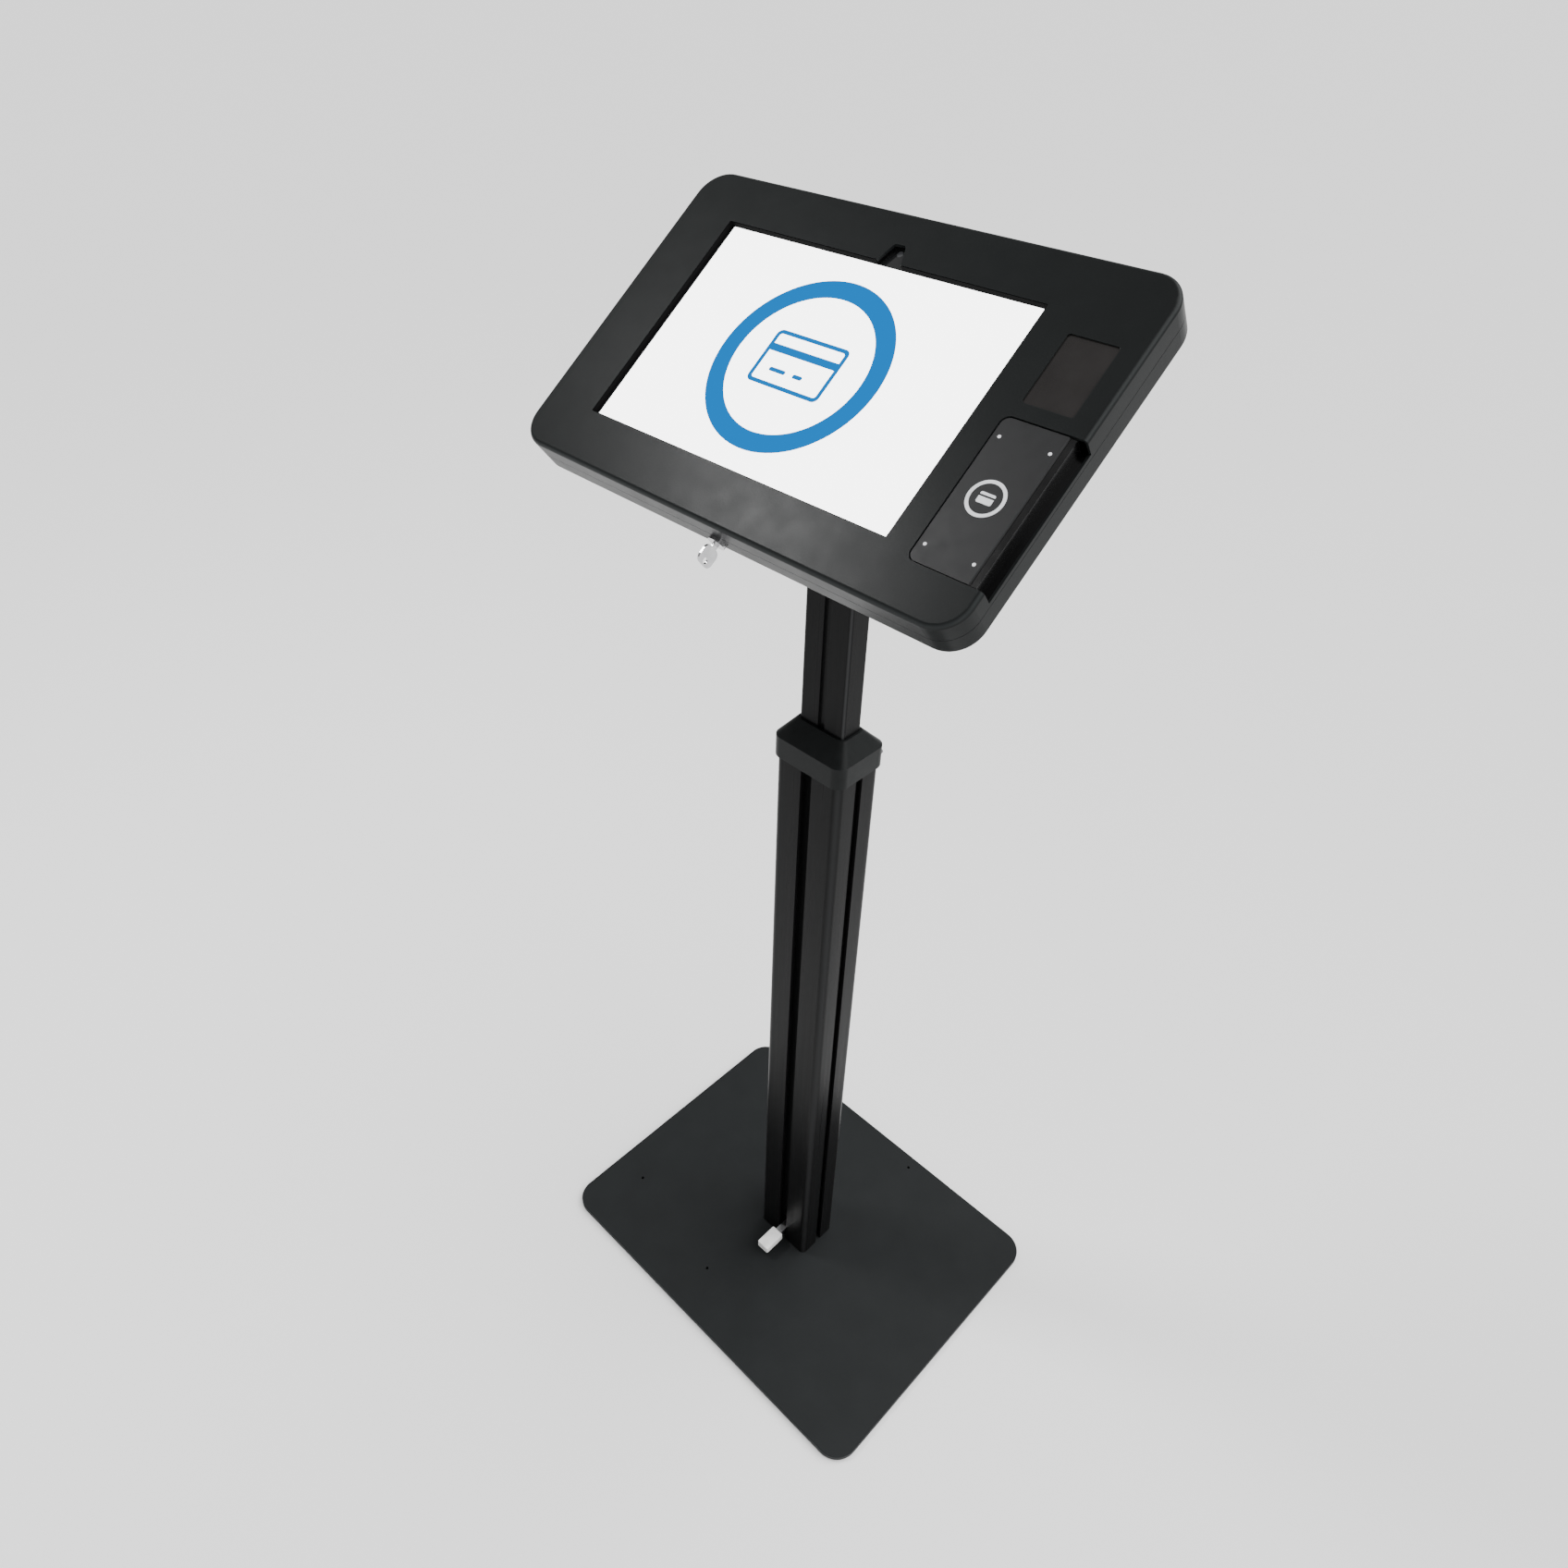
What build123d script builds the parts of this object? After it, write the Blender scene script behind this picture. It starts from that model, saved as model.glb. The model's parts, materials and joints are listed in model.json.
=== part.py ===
from build123d import *
from math import cos, radians, sin
import os

# Free-standing payment terminal: a floor plate, a telescopic column worked by a foot
# pedal, and a tilting tablet enclosure with a card reader and a locked front cover.
# Millimetres. +Z is up, the front faces -Y, the origin is on the floor under the
# middle of the base plate. Enclosure pieces are drawn flat: x to the right, y up the
# panel, z out of the front face, with zero in the middle of that face.

# Base plate and what it stands on
BASE_WIDTH = 440.0
BASE_DEPTH = 340.0
BASE_THICKNESS = 6.0
BASE_CORNER_RADIUS = 25.0
FOOT_HEIGHT = 2.0
FOOT_RADIUS = 11.0
FOOT_INSET = 28.0
BASE_EDGE_BREAK = 0.6
ACCESSORY_HOLE_RADIUS = 1.8
ACCESSORY_HOLES = [(-178.0, -94.0), (51.0, 155.0), (-34.0, -118.0)]

# Lower column, an aluminium extrusion with a T-slot in each face
LOWER_WIDTH = 70.0
LOWER_DEPTH = 52.0
LOWER_CORNER_RADIUS = 7.0
LOWER_LENGTH = 730.0
SLOT_LIP = 2.5
FRONT_SLOT_WIDTH = 12.0
FRONT_SLOT_INNER_WIDTH = 20.0
FRONT_SLOT_DEPTH = 9.0
SIDE_SLOT_WIDTH = 8.0
SIDE_SLOT_INNER_WIDTH = 14.0
SIDE_SLOT_DEPTH = 6.5
SCREW_PORT_RADIUS = 3.05
FOOT_SCREW_RADIUS = 3.0
FOOT_SCREW_REACH = 26.0
FOOT_COUNTERBORE_RADIUS = 6.0
FOOT_COUNTERBORE_DEPTH = 3.6

# Inner column, which slides in the lower one
INNER_WIDTH = 47.0
INNER_DEPTH = 22.5
INNER_CORNER_RADIUS = 3.0
INNER_SIDE_WALL = 2.2
INNER_FRONT_WALL = 3.4
INNER_GROOVE_WIDTH = 7.0
INNER_GROOVE_DEPTH = 2.3
INNER_ENGAGEMENT = 293.0
BUSHING_WALL = 2.0
BUSHING_LENGTH = 60.0
SLIDE_CLEARANCE = 0.15
SHOE_LENGTH = 40.0
SHOE_FLOOR = 6.0
TRAVEL_UP = 140.0

# Collar over the top of the lower column
COLLAR_WALL = 3.0
COLLAR_RIM = 20.0
COLLAR_OVERLAP = 16.0
COLLAR_SLOPE = 15.5
COLLAR_LIP = 2.0
COLLAR_GAP = 0.35
COLLAR_CROWN_RADIUS = 5.0
COLLAR_SCREW_RADIUS = 1.5
COLLAR_SCREW_DROP = 8.0

# Lockable gas spring inside the columns
SPRING_ROD_RADIUS = 3.0
SPRING_TUBE_RADIUS = 7.0
SPRING_TUBE_WALL = 0.9
SPRING_TUBE_LENGTH = 390.0
SPRING_TUBE_BELOW_SHOE = 165.0
SPRING_TUBE_CAP = 4.0
SPRING_GLAND = 12.0
SPRING_PISTON = 8.0
SPRING_RESERVE = 30.0
SPRING_EYE_HEIGHT = 14.0
SPRING_EYE_WIDTH = 12.0
SPRING_EYE_DEPTH = 10.0
ROD_BELOW_BRIDGE = 1.0
ROD_NUT_RADIUS = 5.5
ROD_NUT_HEIGHT = 5.0
SPRING_PIN_RADIUS = 3.0
RELEASE_PIN_RADIUS = 1.5
RELEASE_GAP = 0.5
RELEASE_PIN_ABOVE_BRIDGE = 14.0
RELEASE_BORE_ABOVE_BRIDGE = 17.0
RUNNING_CLEARANCE = 0.05

# Pedal and its bracket
PEDAL_WIDTH = 8.0
PEDAL_HEIGHT = 6.0
PEDAL_AXIS_Y = -7.0
PEDAL_AXIS_ABOVE_PLATE = 16.0
PEDAL_REACH = 34.0
PEDAL_TAIL = 11.0
PEDAL_PIN_RADIUS = 2.0
PEDAL_PIN_END = 1.5
PEDAL_PIN_HEAD = 1.2
PEDAL_PIN_HEAD_RADIUS = 3.2
PEDAL_EYE_WALL = 2.0
SLEEVE_LENGTH = 27.0
SLEEVE_WIDTH = 16.0
SLEEVE_HEIGHT = 11.0
SLEEVE_OVERHANG = 2.0
SLEEVE_ROUNDING = 2.2
BRACKET_SHEET = 3.0
BRACKET_HEIGHT = 34.0
BRACKET_GAP = 2.5
BRACKET_BRIDGE = 4.0
BRACKET_SIDE_GAP = 0.5
PEDAL_WINDOW_TOP = 30.0
PEDAL_WINDOW_BOTTOM = 3.0
PEDAL_WINDOW_OVERRUN = 1.0

# Tilt hinge at the top of the inner column
HINGE_HEIGHT = 1012.0
HINGE_ABOVE_COLUMN = 22.0
HINGE_BEHIND_HOUSING = 24.0
HINGE_UP_PANEL = 8.0
TILT = 37.5
YOKE_PLATE = 5.0
YOKE_EAR = 5.0
YOKE_EAR_INSIDE = 10.0
YOKE_SCREW_RADIUS = 2.5
YOKE_SCREW_X = 5.0
YOKE_SCREW_REACH = 18.0
PLUG_LENGTH = 30.0
PLUG_HOLE_DEPTH = 20.0
EAR_RADIUS = 12.0
WASHER_THICKNESS = 0.8
WASHER_GAP = 0.15
WASHER_RADIUS = 9.0
BRACKET_EAR = 4.0
TILT_BOLT_RADIUS = 4.0
TILT_BOLT_HEAD_RADIUS = 7.5
TILT_BOLT_HEAD = 5.0
KNOB_RADIUS = 13.0
KNOB_NECK_RADIUS = 8.0
KNOB_NECK = 4.0
KNOB_GRIP = 12.0
KNOB_BORE = 12.0
KNOB_SCALLOPS = 6
KNOB_SCALLOP_RADIUS = 4.5
KNOB_SCALLOP_CENTRE = 15.5
BRACKET_PLATE = 3.0
BRACKET_PLATE_WIDTH = 90.0
BRACKET_PLATE_LENGTH = 76.0
BRACKET_PATTERN_X = 75.0
BRACKET_PATTERN_Y = 50.0
BRACKET_PLATE_CORNER = 6.0
BRACKET_SCREW_RADIUS = 2.0
BRACKET_SCREW_END = 4.0
BRACKET_NUT_RADIUS = 3.9
BRACKET_NUT_HEIGHT = 3.0

# Enclosure
PANEL_WIDTH = 383.0
PANEL_HEIGHT = 242.6
PANEL_CORNER_RADIUS = 22.0
PANEL_EDGE_RADIUS = 3.0
COVER_DEPTH = 15.0
HOUSING_DEPTH = 15.0
COVER_SHEET = 1.6
COVER_FACE = 2.0
HOUSING_SHEET = 1.5
PARTING_GAP = 0.4
SCREEN_WIDTH = 263.0
SCREEN_HEIGHT = 167.0
SCREEN_X = -12.0
SCREEN_RECESS = 4.5
NOTCH_FOOT = 20.0
NOTCH_TOP = 9.0
NOTCH_HEIGHT = 14.0
NOTCH_ROUNDING = 2.5
NOTCH_OVERLAP = 1.0
SCREEN_CORNER_RADIUS = 1.0
VENT_COUNT = 7
VENT_PITCH = 9.0
VENT_LENGTH = 46.0
VENT_WIDTH = 3.0
VENT_OFFSET = 40.0
CABLE_HOLE_RADIUS = 9.0
CABLE_HOLE_BELOW_BRACKET = 22.0
CABLE_HOLE_BESIDE_COLUMN = 45.0
GROMMET_WALL = 2.5
GROMMET_LIP = 1.5

# Tablet
TABLET_WIDTH = 285.0
TABLET_HEIGHT = 200.0
TABLET_THICKNESS = 8.0
TABLET_CORNER_RADIUS = 10.0
TABLET_BACK_ROUNDING = 2.5
GLASS_THICKNESS = 1.0
GLASS_INSET = 1.0
LENS_RADIUS = 2.2
LENS_Y = 94.0
GASKET_WIDTH = 6.0
GASKET_GAP = 0.3
GASKET_CORNER_RADIUS = 3.0
CORNER_BRACKET = 22.0
CORNER_WALL = 2.0
CORNER_CLEARANCE = 0.2

# Scanner window and card reader in the front cover
WINDOW_WIDTH = 34.0
WINDOW_HEIGHT = 49.0
WINDOW_X = 159.1
WINDOW_Y = 44.9
WINDOW_THICKNESS = 1.5
WINDOW_RECESS = 1.0
WINDOW_FLANGE = 3.0
WINDOW_CORNER_RADIUS = 2.0
SCANNER_DEPTH = 12.0
SCANNER_WALL = 2.5
SCANNER_CAVITY = 6.0
SCANNER_SIDE_MARGIN = 1.0
SCANNER_END_MARGIN = 3.0
SCANNER_LENS_RADIUS = 6.0
SCANNER_LENS_HEIGHT = 4.0
READER_WIDTH = 43.6
READER_HEIGHT = 100.6
READER_X = 159.5
READER_Y = -39.7
READER_CORNER_RADIUS = 6.0
READER_BODY_DEPTH = 13.0
READER_FLANGE = 4.0
PAD_THICKNESS = 1.6
PAD_RECESS = 0.6
PAD_GAP = 0.8
PAD_EDGE_BREAK = 0.7
RAIL_DEPTH = 12.0
RAIL_WALL = 4.3
RAIL_FLOOR = 1.5
RAIL_WALL_DROP = 1.0
RAIL_SIDE_GAP = 0.1
LED_RADIUS = 1.1
LED_PROUD = 0.2
LED_SPACING_X = 33.5
LED_SHIFT_X = 0.4
LED_SPACING_Y = 74.5
LED_CENTRE_Y = -40.5
SYMBOL_RADIUS = 12.0
SYMBOL_LINE = 2.2
SYMBOL_HEIGHT = 0.3
CARD_WIDTH = 10.0
CARD_HEIGHT = 7.0
CARD_STRIPE = 1.2
CARD_CORNER = 1.0
SYMBOL_X = 159.1
SYMBOL_Y = -40.4
READER_SCREW_RADIUS = 1.5

# Cover hinges along the top edge
COVER_HINGE_X = 108.0
COVER_HINGE_LENGTH = 40.0
KNUCKLE_RADIUS = 3.0
KNUCKLE_GAP = 0.4
KNUCKLE_MIDDLE = 16.0
KNUCKLE_SIDE_GAP = 0.3
LEAF_THICKNESS = 1.2
LEAF_LENGTH = 11.0
HINGE_PIN_RADIUS = 1.5

# Cam lock in the bottom wall
LOCK_BELOW_PARTING = 6.3
BARREL_RADIUS = 4.6
BARREL_LENGTH = 14.0
BARREL_FLANGE_RADIUS = 6.4
BARREL_FLANGE = 2.5
LOCK_NUT_ACROSS = 11.0
LOCK_NUT_THICKNESS = 3.0
PLUG_RADIUS = 3.5
CAM_LENGTH = 14.0
CAM_WIDTH = 7.0
CAM_THICKNESS = 2.0
CAM_STEP = 0.4
CAM_STEM_RADIUS = 2.0
CAM_NUT_RADIUS = 2.9
CAM_NUT_THICKNESS = 0.8
CATCH_SHEET = 1.5
CATCH_WIDTH = 5.0
CATCH_BEFORE_CAM = 3.0
CATCH_FOOT = 9.0
CATCH_FLANGE = 10.0
CATCH_GAP = 2.0
CATCH_FOOT_GAP = 0.6
KEY_THICKNESS = 1.6
KEY_BLADE_WIDTH = 5.0
KEY_BLADE_DEPTH = 11.0
KEY_BOW_WIDTH = 15.0
KEY_BOW_LENGTH = 13.0
KEY_NECK = 3.0
KEY_BOW_ROUNDING = 4.5
KEY_HOLE_RADIUS = 2.2

# Socket screws, as (head radius, head height)
FOOT_SCREW_HEAD = (5.5, 3.3)
COLLAR_SCREW_HEAD = (2.8, 1.6)
YOKE_SCREW_HEAD = (4.2, 3.5)
BRACKET_SCREW_HEAD = (3.6, 2.4)
READER_SCREW_HEAD = (2.6, 1.6)
SOCKET_RADIUS_RATIO = 0.4
SOCKET_DEPTH_RATIO = 0.6

# Heights and offsets that follow from the sizes above
PLATE_TOP = FOOT_HEIGHT + BASE_THICKNESS
LOWER_TOP = PLATE_TOP + LOWER_LENGTH
BORE_WIDTH = INNER_WIDTH + 2 * (BUSHING_WALL + SLIDE_CLEARANCE)
BORE_DEPTH = INNER_DEPTH + 2 * (BUSHING_WALL + SLIDE_CLEARANCE)
PORT_X = (BORE_WIDTH + LOWER_WIDTH) / 4
PORT_Y = (BORE_DEPTH + LOWER_DEPTH) / 4
INNER_BOTTOM = LOWER_TOP - INNER_ENGAGEMENT
INNER_TOP = HINGE_HEIGHT - HINGE_ABOVE_COLUMN
SPRING_TUBE_BOTTOM = INNER_BOTTOM - SPRING_TUBE_BELOW_SHOE
SPRING_TUBE_TOP = SPRING_TUBE_BOTTOM + SPRING_TUBE_LENGTH
PEDAL_AXIS_Z = PLATE_TOP + PEDAL_AXIS_ABOVE_PLATE
BRACKET_TOP = PLATE_TOP + BRACKET_HEIGHT
PEDAL_FRONT = -LOWER_DEPTH / 2 - PEDAL_REACH
PANEL_DEPTH = COVER_DEPTH + HOUSING_DEPTH
COVER_REAR = -COVER_DEPTH + PARTING_GAP / 2
HOUSING_FRONT = -COVER_DEPTH - PARTING_GAP / 2
HOUSING_FLOOR = -PANEL_DEPTH + HOUSING_SHEET
GLASS_TOP = -SCREEN_RECESS
GLASS_BOTTOM = GLASS_TOP - GLASS_THICKNESS
TABLET_BACK = GLASS_TOP - TABLET_THICKNESS
PANEL_RIGHT = PANEL_WIDTH / 2
PANEL_TOP = PANEL_HEIGHT / 2
COVER_HINGE_Y = PANEL_TOP + KNUCKLE_RADIUS + KNUCKLE_GAP
LOCK_Z = HOUSING_FRONT - LOCK_BELOW_PARTING
LOCK_FACE = -PANEL_TOP
CAM_FRONT = LOCK_FACE + BARREL_LENGTH + CAM_STEP
BORE_FRONT = BORE_DEPTH / 2

PANEL_UP = Vector(0, cos(radians(TILT)), sin(radians(TILT)))
PANEL_OUT = Vector(0, -sin(radians(TILT)), cos(radians(TILT)))
HINGE_CENTRE = Vector(0, 0, HINGE_HEIGHT)
HINGE_FROM_FACE = PANEL_DEPTH + HINGE_BEHIND_HOUSING
PANEL_CENTRE = HINGE_CENTRE - PANEL_UP * HINGE_UP_PANEL + PANEL_OUT * HINGE_FROM_FACE
PANEL = Plane(origin=PANEL_CENTRE, x_dir=(1, 0, 0), z_dir=PANEL_OUT)


def box(x, y, z):
    """A box between the two limits given for each axis."""
    middle = Pos((x[0] + x[1]) / 2, (y[0] + y[1]) / 2, (z[0] + z[1]) / 2)
    return middle * Box(x[1] - x[0], y[1] - y[0], z[1] - z[0])


def slab(width, depth, bottom, top, radius, centre=(0.0, 0.0)):
    """An upright block with rounded corners."""
    outline = Pos(centre[0], centre[1], bottom) * RectangleRounded(width, depth, radius)
    return extrude(outline, top - bottom)


def upright(radius, bottom, top, centre=(0.0, 0.0)):
    """A round bar standing between two heights."""
    return Pos(centre[0], centre[1], (bottom + top) / 2) * Cylinder(radius, top - bottom)


def along_x(radius, x, centre):
    """A round bar lying along X, centred at (y, z)."""
    middle = Pos((x[0] + x[1]) / 2, centre[0], centre[1])
    return middle * Rot(0, 90, 0) * Cylinder(radius, x[1] - x[0])


def along_y(radius, y, centre):
    """A round bar lying along Y, centred at (x, z)."""
    middle = Pos(centre[0], (y[0] + y[1]) / 2, centre[1])
    return middle * Rot(90, 0, 0) * Cylinder(radius, y[1] - y[0])


def screw(shank_radius, seat, tip, head, up=1):
    """An upright socket screw on the axis: its head stands on the seat, away from the tip.

    The head is (radius, height), and its socket is two fifths as wide and deep to match.
    """
    head_radius, head_height = head
    top = seat + up * head_height
    socket_floor = top - up * head_height * SOCKET_DEPTH_RATIO
    solid = upright(shank_radius, *sorted((tip, seat)))
    solid += upright(head_radius, *sorted((seat, top)))
    return solid - upright(head_radius * SOCKET_RADIUS_RATIO, *sorted((socket_floor, top)))


def group(shapes):
    """Separate solids kept together as one node."""
    return Compound(children=list(shapes))


def four(x, y, centre=(0.0, 0.0)):
    """The four corners of a rectangle of half sizes x and y."""
    return [(centre[0] + i * x, centre[1] + j * y) for i in (-1, 1) for j in (-1, 1)]


# Base and lower column


def base_plate():
    plate = slab(BASE_WIDTH, BASE_DEPTH, FOOT_HEIGHT, PLATE_TOP, BASE_CORNER_RADIUS)
    plate = chamfer(plate.faces().sort_by(Axis.Z)[-1].edges(), BASE_EDGE_BREAK)
    for place in four(PORT_X, PORT_Y):
        plate -= upright(SCREW_PORT_RADIUS, FOOT_HEIGHT, PLATE_TOP, place)
        counterbore_top = FOOT_HEIGHT + FOOT_COUNTERBORE_DEPTH
        plate -= upright(FOOT_COUNTERBORE_RADIUS, FOOT_HEIGHT, counterbore_top, place)
    for place in ACCESSORY_HOLES:
        plate -= upright(ACCESSORY_HOLE_RADIUS, FOOT_HEIGHT, PLATE_TOP, place)
    return plate


def base_feet():
    x = BASE_WIDTH / 2 - FOOT_INSET
    y = BASE_DEPTH / 2 - FOOT_INSET
    return group(upright(FOOT_RADIUS, 0, FOOT_HEIGHT, place) for place in four(x, y))


def foot_screws():
    seat = FOOT_HEIGHT + FOOT_COUNTERBORE_DEPTH
    one = screw(FOOT_SCREW_RADIUS, seat, PLATE_TOP + FOOT_SCREW_REACH, FOOT_SCREW_HEAD, up=-1)
    return group(Pos(*place) * one for place in four(PORT_X, PORT_Y))


def t_slot(half, lip_width, inner_width, depth):
    """The section of a T-slot cut into a face at distance half, opening towards -Y."""
    mouth = Pos(0, -half + SLOT_LIP / 2) * Rectangle(lip_width, SLOT_LIP)
    pocket_depth = depth - SLOT_LIP
    pocket = Pos(0, -half + SLOT_LIP + pocket_depth / 2) * Rectangle(inner_width, pocket_depth)
    return mouth + pocket


def lower_section():
    section = RectangleRounded(LOWER_WIDTH, LOWER_DEPTH, LOWER_CORNER_RADIUS)
    section -= RectangleRounded(BORE_WIDTH, BORE_DEPTH, INNER_CORNER_RADIUS)
    front = t_slot(LOWER_DEPTH / 2, FRONT_SLOT_WIDTH, FRONT_SLOT_INNER_WIDTH, FRONT_SLOT_DEPTH)
    side = t_slot(LOWER_WIDTH / 2, SIDE_SLOT_WIDTH, SIDE_SLOT_INNER_WIDTH, SIDE_SLOT_DEPTH)
    for turn in (0, 180):
        section -= Rot(0, 0, turn) * front
        section -= Rot(0, 0, turn + 90) * side
    for place in four(PORT_X, PORT_Y):
        section -= Pos(*place) * Circle(SCREW_PORT_RADIUS)
    return section


def lower_column():
    column = Pos(0, 0, PLATE_TOP) * extrude(lower_section(), LOWER_LENGTH)
    half = FRONT_SLOT_WIDTH / 2
    window = box(
        (-half, half),
        (-LOWER_DEPTH / 2, -BORE_FRONT + PEDAL_WINDOW_OVERRUN),
        (PLATE_TOP + PEDAL_WINDOW_BOTTOM, PLATE_TOP + PEDAL_WINDOW_TOP),
    )
    return column - window


def column_bushing():
    outside = slab(BORE_WIDTH, BORE_DEPTH, LOWER_TOP - BUSHING_LENGTH, LOWER_TOP, INNER_CORNER_RADIUS)
    inside = slab(
        INNER_WIDTH + 2 * SLIDE_CLEARANCE,
        INNER_DEPTH + 2 * SLIDE_CLEARANCE,
        LOWER_TOP - BUSHING_LENGTH,
        LOWER_TOP,
        INNER_CORNER_RADIUS,
    )
    return outside - inside


def column_collar():
    rim_bottom = LOWER_TOP - COLLAR_OVERLAP
    rim_top = rim_bottom + COLLAR_RIM
    width = LOWER_WIDTH + 2 * COLLAR_WALL
    depth = LOWER_DEPTH + 2 * COLLAR_WALL
    radius = LOWER_CORNER_RADIUS + COLLAR_WALL
    skirt = slab(width, depth, rim_bottom, rim_top, radius)
    foot = Pos(0, 0, rim_top) * RectangleRounded(width, depth, radius)
    lip = 2 * (COLLAR_GAP + COLLAR_LIP)
    crown_outline = RectangleRounded(INNER_WIDTH + lip, INNER_DEPTH + lip, COLLAR_CROWN_RADIUS)
    crown = Pos(0, 0, rim_top + COLLAR_SLOPE) * crown_outline
    collar = skirt + loft([foot, crown])
    collar -= slab(LOWER_WIDTH, LOWER_DEPTH, rim_bottom, LOWER_TOP, LOWER_CORNER_RADIUS)
    collar -= slab(
        INNER_WIDTH + 2 * COLLAR_GAP,
        INNER_DEPTH + 2 * COLLAR_GAP,
        LOWER_TOP,
        rim_top + COLLAR_SLOPE,
        INNER_CORNER_RADIUS,
    )
    for x in collar_screw_places():
        place = (x, LOWER_TOP - COLLAR_SCREW_DROP)
        collar -= along_y(COLLAR_SCREW_RADIUS, (LOWER_DEPTH / 2, depth / 2), place)
    return collar


def collar_screw_places():
    return (-PORT_X, PORT_X)


def collar_screws():
    one = Rot(-90, 0, 0) * screw(COLLAR_SCREW_RADIUS, COLLAR_WALL, 0, COLLAR_SCREW_HEAD)
    height = LOWER_TOP - COLLAR_SCREW_DROP
    return group(Pos(x, LOWER_DEPTH / 2, height) * one for x in collar_screw_places())


# Gas spring and pedal


def pedal_bracket():
    cheek_inside = PEDAL_WIDTH / 2 + BRACKET_GAP
    cheek_outside = cheek_inside + BRACKET_SHEET
    half_depth = BORE_FRONT - BRACKET_SIDE_GAP
    bridge = (BRACKET_TOP - BRACKET_BRIDGE, BRACKET_TOP)
    half_width = BORE_WIDTH / 2 - INNER_CORNER_RADIUS
    sheet = (PLATE_TOP, PLATE_TOP + BRACKET_SHEET)
    bracket = box((-half_width, half_width), (-half_depth, half_depth), sheet)
    for side in (-1, 1):
        limits = sorted((side * cheek_inside, side * cheek_outside))
        bracket += box(limits, (-half_depth, half_depth), (PLATE_TOP, BRACKET_TOP))
    bracket += box((-cheek_outside, cheek_outside), (-half_depth, half_depth), bridge)
    axis = (PEDAL_AXIS_Y, PEDAL_AXIS_Z)
    bracket -= along_x(PEDAL_PIN_RADIUS, (-cheek_outside, cheek_outside), axis)
    bracket -= upright(SPRING_ROD_RADIUS, *bridge)
    return bracket


def pedal_pin():
    reach = PEDAL_WIDTH / 2 + BRACKET_GAP + BRACKET_SHEET + PEDAL_PIN_END
    axis = (PEDAL_AXIS_Y, PEDAL_AXIS_Z)
    pin = along_x(PEDAL_PIN_RADIUS, (-reach, reach), axis)
    return pin + along_x(PEDAL_PIN_HEAD_RADIUS, (reach - PEDAL_PIN_HEAD, reach), axis)


def pedal_lever():
    half = PEDAL_WIDTH / 2
    y = (PEDAL_FRONT + SLEEVE_OVERHANG, PEDAL_AXIS_Y + PEDAL_TAIL)
    z = (PEDAL_AXIS_Z - PEDAL_HEIGHT / 2, PEDAL_AXIS_Z + PEDAL_HEIGHT / 2)
    lever = box((-half, half), y, z)
    axis = (PEDAL_AXIS_Y, PEDAL_AXIS_Z)
    lever += along_x(PEDAL_PIN_RADIUS + PEDAL_EYE_WALL, (-half, half), axis)
    return lever - along_x(PEDAL_PIN_RADIUS + RUNNING_CLEARANCE, (-half, half), axis)


def pedal_sleeve():
    half = SLEEVE_WIDTH / 2
    y = (PEDAL_FRONT, PEDAL_FRONT + SLEEVE_LENGTH)
    z = (PEDAL_AXIS_Z - SLEEVE_HEIGHT / 2, PEDAL_AXIS_Z + SLEEVE_HEIGHT / 2)
    sleeve = fillet(box((-half, half), y, z).edges(), SLEEVE_ROUNDING)
    pocket = box(
        (-PEDAL_WIDTH / 2, PEDAL_WIDTH / 2),
        (PEDAL_FRONT + SLEEVE_OVERHANG, PEDAL_FRONT + SLEEVE_LENGTH),
        (PEDAL_AXIS_Z - PEDAL_HEIGHT / 2, PEDAL_AXIS_Z + PEDAL_HEIGHT / 2),
    )
    return sleeve - pocket


def release_pin():
    bottom = PEDAL_AXIS_Z + PEDAL_HEIGHT / 2 + RELEASE_GAP
    return upright(RELEASE_PIN_RADIUS, bottom, BRACKET_TOP + RELEASE_PIN_ABOVE_BRIDGE)


def gas_spring_rod():
    top = SPRING_TUBE_BOTTOM + TRAVEL_UP + SPRING_RESERVE
    bottom = BRACKET_TOP - BRACKET_BRIDGE - ROD_BELOW_BRIDGE
    piston_radius = SPRING_TUBE_RADIUS - SPRING_TUBE_WALL - RUNNING_CLEARANCE
    bore_top = BRACKET_TOP + RELEASE_BORE_ABOVE_BRIDGE
    rod = upright(SPRING_ROD_RADIUS, bottom, top) + upright(piston_radius, top - SPRING_PISTON, top)
    return rod - upright(RELEASE_PIN_RADIUS + RUNNING_CLEARANCE, bottom, bore_top)


def rod_nut():
    nut = Pos(0, 0, BRACKET_TOP) * extrude(RegularPolygon(ROD_NUT_RADIUS, 6), ROD_NUT_HEIGHT)
    return nut - upright(SPRING_ROD_RADIUS, BRACKET_TOP, BRACKET_TOP + ROD_NUT_HEIGHT)


def gas_spring_tube():
    tube = upright(SPRING_TUBE_RADIUS, SPRING_TUBE_BOTTOM, SPRING_TUBE_TOP)
    gland_top = SPRING_TUBE_BOTTOM + SPRING_GLAND
    cavity_radius = SPRING_TUBE_RADIUS - SPRING_TUBE_WALL
    cavity = upright(cavity_radius, gland_top, SPRING_TUBE_TOP - SPRING_TUBE_CAP)
    gland = upright(SPRING_ROD_RADIUS + RUNNING_CLEARANCE, SPRING_TUBE_BOTTOM, gland_top)
    eye_middle = Pos(0, 0, SPRING_TUBE_TOP + SPRING_EYE_HEIGHT / 2)
    eye = eye_middle * Box(SPRING_EYE_WIDTH, SPRING_EYE_DEPTH, SPRING_EYE_HEIGHT)
    half = SPRING_EYE_WIDTH / 2
    eye -= along_x(SPRING_PIN_RADIUS, (-half, half), (0, spring_pin_height()))
    return tube - cavity - gland + eye


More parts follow.
